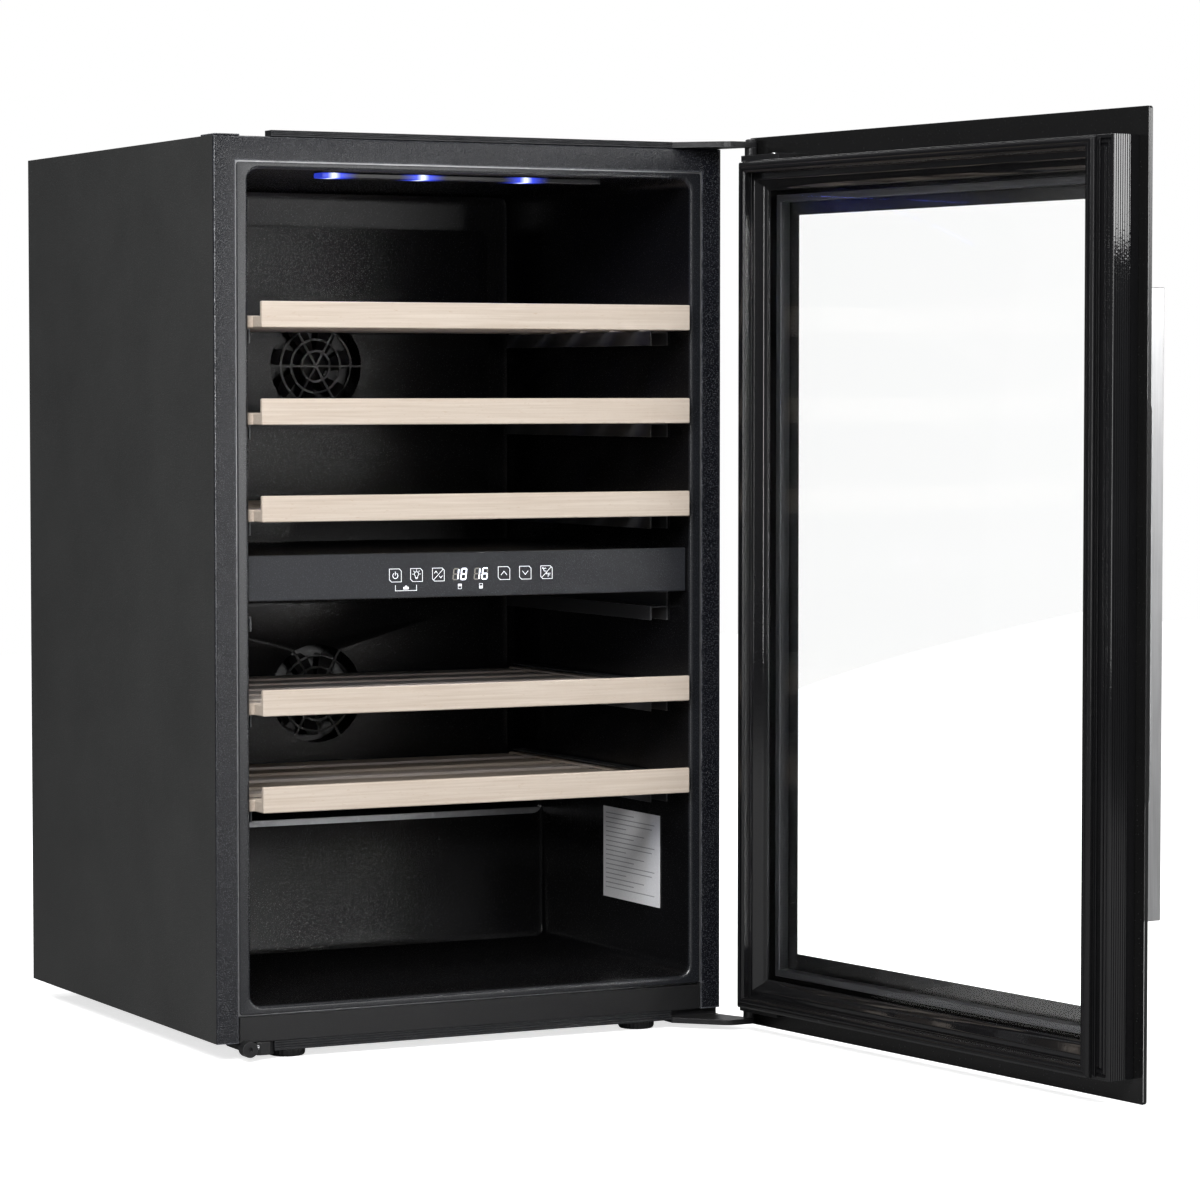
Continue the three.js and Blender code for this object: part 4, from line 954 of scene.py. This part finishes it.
def makeFrame(design):
    low, high = localBox("door_frame", doorSpace)
    y0 = low[1]
    profile = [(0, y0, 0.4), (0, design["ribStart"], 0)]
    y = design["ribStart"]
    for _ in range(design["ribs"]):
        profile += [(design["ribCut"], y + 0.05, 0), (design["ribCut"], y + 0.4, 0), (0.12, y + 0.55, 0),
                    (0.02, y + 0.75, 0), (0, y + 1.5, 0), (0.02, y + 2.3, 0),
                    (0.12, y + design["ribWidth"] - 0.1, 0)]
        y += design["ribWidth"]
    rear, shoulder, soft = design["rear"], design["shoulder"], design["round"]
    groove = rear - 1.4
    profile += [(0.2, rear - 0.6, 0.3), (1.6, rear, 0.9), (3.4, rear, 0.5), (4.0, groove, 0.3),
                (5.8, groove, 0.3), (6.4, rear - 0.1, 0.4), (7.8, rear - 0.1, 0.4), (8.4, groove, 0.3),
                (10.6, groove, 0.3), (11.2, rear, 0.4), (12.8, rear, 0.4), (13.2, rear - 0.5, 0),
                (shoulder - 3, rear - 0.5, 0), (shoulder, rear, soft * 2.4),
                (design["slope"], design["slopeY"], soft * 2), (design["land"], design["landY"], 1.4),
                (design["land"], design["stepY"], 0.3), (design["inner"], design["stepY"], 0),
                (design["inner"], y0, 0)]
    section = [tuple(p) for p in roundedProfile(profile, soft, 4)]
    shape = Shape()
    addMitred(shape, section, low[0], high[0], low[2], high[2])
    makePiece("door_frame_profile", shape, frameGloss, "door", doorSpace, ["door_frame"], 25)


makeFrame(frameDesign)

# Gasket: a bellows with two soft lips
gasketDesign = {"width": 11, "lip": 2.2, "throat": 2.6}


def makeGasket(design):
    low, high = localBox("door_gasket", doorSpace)
    y0, y1 = low[1], high[1]
    width, lip, waist = design["width"], design["lip"], design["throat"]
    half = width / 2
    profile = [(0.6, y0), (width - 0.6, y0), (width - 0.6, y0 + 1.2), (width - waist, y0 + 2.2),
               (width - waist, y0 + 3.6), (width - 0.4, y0 + 4.6), (width, y0 + 6.4), (width - 0.3, y1 - 2.2),
               (width - lip, y1 - 0.4), (half + 1.2, y1), (half, y1 - 0.7), (half - 1.2, y1), (lip, y1 - 0.4),
               (0.3, y1 - 2.2), (0, y0 + 6.4), (0.4, y0 + 4.6), (waist, y0 + 3.6), (waist, y0 + 2.2),
               (0.6, y0 + 1.2)]
    shape = Shape()
    addMitred(shape, profile, low[0], high[0], low[2], high[2])
    ease(makePiece("door_gasket_bellows", shape, gasketRubber, "door", doorSpace, ["door_gasket"],
                   30), 0.35, 2, 25)


makeGasket(gasketDesign)

# Spacer between the panes
spacerDesign = {"width": 7, "corner": 0.8}


def makeSpacer(design):
    low, high = localBox("door_glass_spacer", doorSpace)
    width, corner, y0, y1 = design["width"], design["corner"], low[1], high[1]
    profile = [(0.5, y0), (width - 0.6, y0), (width, y0 + corner), (width, y1 - corner), (width - 0.6, y1),
               (0.5, y1), (0, y1 - corner), (0, y0 + corner)]
    shape = Shape()
    addMitred(shape, profile, low[0], high[0], low[2], high[2])
    makePiece("glass_spacer", shape, spacerMetal, "door", doorSpace, ["door_glass_spacer"],
              30)


makeSpacer(spacerDesign)

# Bright pin between the bolt head and its bracket
pinDesign = {"radius": 3.4, "neck": 2.7, "tip": 2.6, "depth": 12, "sunk": 2}


def makeBoltPin(design):
    head, bracket = localBox("mounting_bolt"), localBox("mounting_bracket")
    radius, neck, sunk = design["radius"], design["neck"], design["sunk"]
    reach = bracket[0][0] - head[1][0] + 2 * sunk
    place = (head[1][0] - sunk, head[0][1] + design["depth"], (head[0][2] + head[1][2]) / 2)
    profile = [(0.3, 0), (design["tip"], 0), (radius, 0.5), (radius, reach * 0.45), (neck, reach * 0.5),
               (neck, reach), (0.3, reach)]
    pin = Shape()
    addTurned(pin, profile, place, "x", 24)
    makePiece("mounting_bolt_pin", pin, brightSteel, "cabinet")


makeBoltPin(pinDesign)


def makeScrews(name, places, axis, radius, height, body, space=cabinetSpace):  # pan heads with a recess
    heads = Shape()
    profile = [(0.3, height * 0.4), (radius * 0.3, height * 0.45), (radius * 0.34, height * 0.98),
               (radius * 0.72, height * 0.86), (radius * 0.94, height * 0.5), (radius, 0.0),
               (radius * 0.5, -0.3)]
    for place in places:
        addTurned(heads, profile, place, axis, 24)
    makePiece(name, heads, brightSteel, body, space)


bracketHigh = localBox("door_bracket_top", doorSpace)[1]
makeScrews("bracket_screws_top", [(-46, 5, bracketHigh[2] - 8.4)], "z", 3.4, 1.6, "door", doorSpace)
print("door made")

# Fans: curved blades round a domed hub
fanDesign = {
    "blades": 7, "hub": 15, "tip": 45, "rootPitch": 46, "tipPitch": 26, "sweep": 14, "thick": 1.1,
    "chord": 20, "inset": (46, 46.5)}  # inset is from the corner of the node's box to the hub


def makeFan(node, design):
    low, high = localBox(node)
    centre = (high[0] - design["inset"][0], low[1], high[2] - design["inset"][1])
    depth = high[1] - low[1]
    shape = Shape()
    hub = design["hub"]
    profile = [(0.3, 0.6), (2.6, 0.6), (3.0, 0.2), (hub * 0.62, 0.1), (hub * 0.9, 0.9), (hub, 2.6),
               (hub, depth - 0.8), (hub - 1, depth - 0.2), (0.3, depth - 0.2)]
    addTurned(shape, profile, centre, "y", 40)
    middle = depth / 2
    for blade in range(design["blades"]):
        loops = []
        for step in range(7):
            share = step / 6
            radius = hub - 1.5 + (design["tip"] - hub + 1.5) * share
            pitch = math.radians(design["rootPitch"] + (design["tipPitch"] - design["rootPitch"]) * share)
            lead = 2 * math.pi * blade / design["blades"] + math.radians(design["sweep"]) * share
            chord = design["chord"] * (0.72 + 0.42 * share) * (1 - 0.35 * max(share - 0.8, 0) / 0.2)
            ring = []
            for u, v in ((-0.5, 0.12), (-0.25, 0.5), (0.1, 0.55), (0.35, 0.4), (0.5, 0.06),
                         (0.35, -0.3), (0.1, -0.42), (-0.25, -0.4), (-0.5, -0.12)):
                camber = 1.5 * (0.25 - u * u)
                out = u * chord * math.sin(pitch) * 0.72 + (v * design["thick"] + camber)
                angle = lead + u * chord * math.cos(pitch) / radius
                ring.append((centre[0] + radius * math.cos(angle), centre[1] + middle + out * 0.72,
                             centre[2] + radius * math.sin(angle)))
            loops.append(ring)
        addLoops(shape, loops)
    makePiece(node + "_rotor", shape, darkPlastic, node, replaces=[node], mend=False)


for node in ("fan_upper", "fan_lower"):
    makeFan(node, fanDesign)

# Feet: knurled discs on threaded stems
footDesign = {"radius": 18, "stem": 5, "knurls": 30, "knurl": 0.7, "thread": 1.5, "height": 29.9}


def makeFoot(node, design):
    low, high = localBox(node)
    centre = ((low[0] + high[0]) / 2, (low[1] + high[1]) / 2)
    sides = design["knurls"] * 4
    shape, stem = Shape(), Shape()
    rim = design["radius"]
    profile = [(0.3, 0.9, 0), (rim - 5, 0.9, 0), (rim - 4.2, 0.0, 0), (rim - 1.6, 0.0, 0),
               (rim - 0.7, 0.9, 0), (rim, 2.6, 1), (rim, 8.4, 1), (rim - 1, 9.8, 0), (9.4, 10.6, 0),
               (8.6, 11.2, 0), (8.2, 13.4, 0), (7.4, 14.0, 0), (0.3, 14.0, 0)]  # radius, height, knurled
    loops = []
    for radius, z, knurled in profile:
        ring = []
        for k in range(sides):
            turn = 2 * math.pi * k / sides
            own = radius - (design["knurl"] if knurled and k % 4 in (0, 1) else 0)
            ring.append((centre[0] + own * math.cos(turn), centre[1] + own * math.sin(turn), z))
        loops.append(ring)
    addLoops(shape, loops)
    makePiece(node + "_disc", shape, footPlastic, node, replaces=[node])
    radius, z, thread = design["stem"], 13.8, []
    while z < design["height"] - design["thread"]:
        thread += [(radius - 0.6, z), (radius, z + design["thread"] / 2)]
        z += design["thread"]
    thread.append((radius - 0.6, design["height"]))
    addTurned(stem, [(0.3, 13.6)] + thread + [(0.3, design["height"])], (centre[0], centre[1], 0), "z", 28)
    makePiece(node + "_stem", stem, brightSteel, node)


for side in ("front_left", "front_right", "rear_left", "rear_right"):
    makeFoot("foot_" + side, footDesign)
print("fans and feet made")

# Machine space at the back: compressor, its pipes and the folded condenser tube
compressorDesign = {
    "x": -95, "y": 433, "radius": 60, "base": 33.8, "plate": (70, 40), "feet": (60, 28), "pan": 28.7}


def makeCompressor(design):
    x, y, z, r = design["x"], design["y"], design["base"], design["radius"]
    can, fittings, rubber, pipes, cover = Shape(), Shape(), Shape(), Shape(), Shape()
    profile = [(0.5, z), (r * 0.72, z), (r * 0.86, z + 4), (r * 0.94, z + 13), (r * 0.985, z + 30),
               (r - 1, z + 50), (r - 0.9, z + 52.5), (r, z + 53), (r + 0.3, z + 54.5), (r, z + 56),
               (r - 1.4, z + 56.6), (r - 2, z + 70), (r * 0.94, z + 86), (r * 0.87, z + 99),
               (r * 0.76, z + 110), (r * 0.6, z + 119), (r * 0.4, z + 125), (r * 0.2, z + 128),
               (0.5, z + 129)]
    addTurned(can, profile, (x, y, 0), "z", 72)
    makePiece("compressor_can", can, compressorPaint, "cabinet", replaces=["compressor"],
              sharp=50)
    wide, deep = design["plate"]
    addBox(fittings, (x - wide, y - deep, z - 3), (x + wide, y + deep, z + 0.5))
    ease(makePiece("compressor_plate", fittings, zincSheet, "cabinet"), 0.8)
    grommet = [(0.5, 0), (8, 0), (9, 1), (6, 2.2), (6, 3.6), (9, 4.2), (9, 7), (7, 8.4), (0.5, 8.4)]
    for sx in (-1, 1):
        for sy in (-1, 1):
            place = (x + sx * design["feet"][0], y + sy * design["feet"][1], design["pan"])
            addTurned(rubber, grommet, place)
    makePiece("compressor_grommets", rubber, gasketRubber, "cabinet")
    addBox(cover, (x + r - 9, y - 21, z + 22), (x + r + 11, y + 21, z + 66))
    ease(makePiece("compressor_terminal_cover", cover, darkPlastic, "cabinet"), 4, 4)

    def bent(points, radius, bend=14):
        path = [Vector(points[0])]
        for before, corner, after in zip(points, points[1:], points[2:]):
            path += arcPoints(before, corner, after, bend, 6)
        path.append(Vector(points[-1]))
        clean = [p for i, p in enumerate(path) if i == 0 or (p - path[i - 1]).length > 0.3]
        addTube(pipes, clean, radius, 14)

    bent([(x - 50, y - 14, z + 88), (x - 76, y - 14, z + 88), (x - 76, y - 14, z + 118),
          (x - 76, y + 35, z + 118), (x - 76, y + 35, 176)], 3.0)
    bent([(x - 50, y + 16, z + 74), (x - 86, y + 16, z + 74), (x - 86, y + 16, z + 112),
          (x - 108, y + 26, z + 112), (x - 108, y + 26, 176)], 4.2)
    bent([(x + 40, y + 30, z + 96), (x + 52, y + 42, z + 96), (x + 52, y + 42, z + 122)], 3.0, 8)
    makePiece("compressor_pipes", pipes, copperTube, "cabinet", sharp=60)


makeCompressor(compressorDesign)

condenserDesign = {
    "radius": 2.4, "sides": 18, "passes": 8, "turns": 14, "clip": (10, 1.2, 16), "clipX": 120,
    "panelY": 496.05}


def makeCondenser(design):
    low, high = localBox("condenser_tube")
    radius = design["radius"]
    y = (low[1] + high[1]) / 2
    start, end, passes = low[2] + radius, high[2] - radius, design["passes"]
    pitch = (end - start) / (passes - 1)
    bend = pitch / 2
    straight = high[0] - radius - bend
    path = []
    for level in range(passes):
        z, side = start + level * pitch, -1 if level % 2 else 1
        path += [(-side * straight, y, z), (side * straight, y, z)]
        if level + 1 < passes:
            for k in range(1, design["turns"]):
                turn = math.pi * k / design["turns"]
                path.append((side * (straight + bend * math.sin(turn)), y, z + bend - bend * math.cos(turn)))
    tube, clips = Shape(), Shape()
    addTube(tube, path, radius, design["sides"])
    makePiece("condenser_coil", tube, condenserPaint, "cabinet", replaces=["condenser_tube"],
              sharp=60)
    wide, thin, tall = design["clip"]
    back = design["panelY"]
    for level in range(passes):
        for x in (-design["clipX"], design["clipX"]):
            z = start + level * pitch
            hook = z + radius + 0.1
            addBox(clips, (x - wide / 2, back, z - tall / 2), (x + wide / 2, back + thin, z + tall / 2))
            addBox(clips, (x - wide / 2, back, hook), (x + wide / 2, y + radius, hook + thin))
    ease(makePiece("condenser_clips", clips, zincSheet, "cabinet", mend=False), 0.3, 1)


makeCondenser(condenserDesign)

spaceDesign = {
    "half": 270.2, "front": 345.2, "back": 494.4, "low": 28.8, "high": 181.6, "thick": 0.6, "ceiling": 2.2}


def makeSpaceLining(design):  # sheet that covers the foam above and in front of the machine space
    lining = Shape()
    half, thick, front, back = design["half"], design["thick"], design["front"], design["back"]
    low, high = design["low"], design["high"]
    ceiling = high - design["ceiling"]
    addBox(lining, (-half, front, low), (half, front + thick, high))
    addBox(lining, (-half, front, high - thick - design["ceiling"]), (half, back, ceiling))
    for side in (-1, 1):
        edge = side * half
        addBox(lining, (min(edge, edge - side * thick), front, low),
               (max(edge, edge - side * thick), back, high - 3))
    ease(makePiece("machine_space_lining", lining, zincSheet, "cabinet", mend=False),
         0.2, 1)


makeSpaceLining(spaceDesign)

# Back panel: screws, pressed beads and the pins of the inlet
backDesign = {
    "inset": 9, "screw": 3.6, "screwRise": 1.8, "bead": 4, "beadRise": 1.4, "beadX": 236, "beadEnd": 50,
    "crossX": 190, "crossLow": 36, "crossHigh": 32, "pinHalf": (0.9, 3.4)}


def makeBackDetails(design):
    low, high = localBox("back_panel")
    y, inset = high[1], design["inset"]
    columns = (low[0] + inset, high[0] - inset)
    places = [(x, y, z) for x in (columns[0], 0, columns[1]) for z in (low[2] + inset, high[2] - inset)]
    places += [(x, y, (low[2] + high[2]) / 2) for x in columns]
    makeScrews("back_panel_screws", places, "y", design["screw"], design["screwRise"], "cabinet")
    beads, half, top, end = Shape(), design["bead"], y + design["beadRise"], design["beadEnd"]
    for x in (-design["beadX"], design["beadX"]):
        addBox(beads, (x - half, y + 0.02, low[2] + end), (x + half, top, high[2] - end))
    for z in (low[2] + design["crossLow"], high[2] - design["crossHigh"]):
        addBox(beads, (-design["crossX"], y + 0.02, z - half), (design["crossX"], top, z + half))
    ease(makePiece("back_panel_beads", beads, zincSheet, "cabinet"), 1.2, 2)
    pins = Shape()
    inletLow, inletHigh = localBox("power_inlet")
    wide, tall = design["pinHalf"]
    for dx, dz in ((-7, 0), (0, 3), (7, 0)):
        x, z = (inletLow[0] + inletHigh[0]) / 2 + dx, (inletLow[2] + inletHigh[2]) / 2 + dz
        addBox(pins, (x - wide, inletLow[1] + 7.9, z - tall), (x + wide, inletHigh[1] - 5, z + tall))
    ease(makePiece("inlet_pins", pins, brightSteel, "cabinet"), 0.3, 1)


makeBackDetails(backDesign)
print("back made")


# Studio: pale floor, white surroundings and soft lights
def softLight(name, place, aim, width, height, power):
    data = bpy.data.lights.new(name, "AREA")
    data.shape = "RECTANGLE"
    data.size, data.size_y, data.energy = width, height, power
    lamp = bpy.data.objects.new(name, data)
    lamp.location = place
    lamp.rotation_euler = (Vector(aim) - Vector(place)).to_track_quat("-Z", "Y").to_euler()
    bpy.context.scene.collection.objects.link(lamp)
    lamp.visible_camera = False


def seenRays(tree):  # 1 on what the camera sees, straight or through the glass
    paths = put(tree, "LightPath")
    return mathNode(tree, "MAXIMUM", paths.outputs["Is Camera Ray"], paths.outputs["Is Transmission Ray"])


def makeStage():
    world = bpy.data.worlds.new("studio")
    bpy.context.scene.world = world
    world.use_nodes = True
    tree = world.node_tree
    tree.nodes.clear()
    background = put(tree, "Background")
    surround = mixColour(tree, seenRays(tree), (0.11, 0.112, 0.116, 1), (1, 1, 1, 1))
    tree.links.new(surround, background.inputs["Color"])
    output = tree.nodes.new("ShaderNodeOutputWorld")
    tree.links.new(background.outputs[0], output.inputs["Surface"])
    bpy.context.scene.view_settings.view_transform = "Standard"
    floor, tree, shader = newMaterial("studio floor", Roughness=0.7, Specular_IOR_Level=0.2)
    places = put(tree, "TexCoord")
    away = put(tree, "VectorMath", operation="LENGTH")
    tree.links.new(places.outputs["Object"], away.inputs[0])
    cloud = put(tree, "TexNoise", {"Scale": 2.0})
    tree.links.new(places.outputs["Object"], cloud.inputs["Vector"])
    pale = mixColour(tree, cloud.outputs["Fac"], (0.9, 0.9, 0.9, 1), (0.93, 0.93, 0.93, 1))
    seen = seenRays(tree)
    tree.links.new(mixColour(tree, seen, (0.22, 0.22, 0.22, 1), pale), shader.inputs["Base Color"])
    shader.inputs["Emission Color"].default_value = (1, 1, 1, 1)
    far = ramp(tree, away.outputs["Value"], 0.6, 1.5, 0.72, 1.0)  # brighter far away, as a white cove is
    tree.links.new(mathNode(tree, "MULTIPLY", far, seen), shader.inputs["Emission Strength"])
    ground = Shape()
    addBox(ground, (-6000, -6000, -20), (6000, 6000, -0.2))
    mesh = bpy.data.meshes.new("studio_floor")
    mesh.from_pydata([tuple(0.001 * c for c in p) for p in ground.points], [], ground.faces)
    mesh.materials.append(floor)
    plate = bpy.data.objects.new("studio_floor", mesh)
    bpy.context.scene.collection.objects.link(plate)


makeStage()
studioLights = {  # place, what it faces, width, height and watts
    "key": ((-1.9, -2.6, 2.4), (0, 0.1, 0.5), 1.4, 1.4, 162),
    "fill": ((1.25, -3.1, 0.62), (-0.1, 0, 0.5), 1.5, 0.84, 18),
    "top": ((0.1, 0.1, 2.6), (0, 0.1, 0.4), 2.0, 1.6, 30),
    "rib_strip": ((2.25, -2.3, 1.45), (0.3, -0.55, 0.9), 1.0, 1.2, 34),
    "edge_strip": ((-2.4, -2.0, 1.0), (0.2, -0.2, 0.5), 0.12, 1.7, 14),
    "back": ((1.0, 2.4, 1.8), (0, 0.3, 0.5), 1.6, 1.2, 16)}
for name, setup in studioLights.items():
    softLight(name, *setup)
print("studio made")

print("pieces", pieceCount)
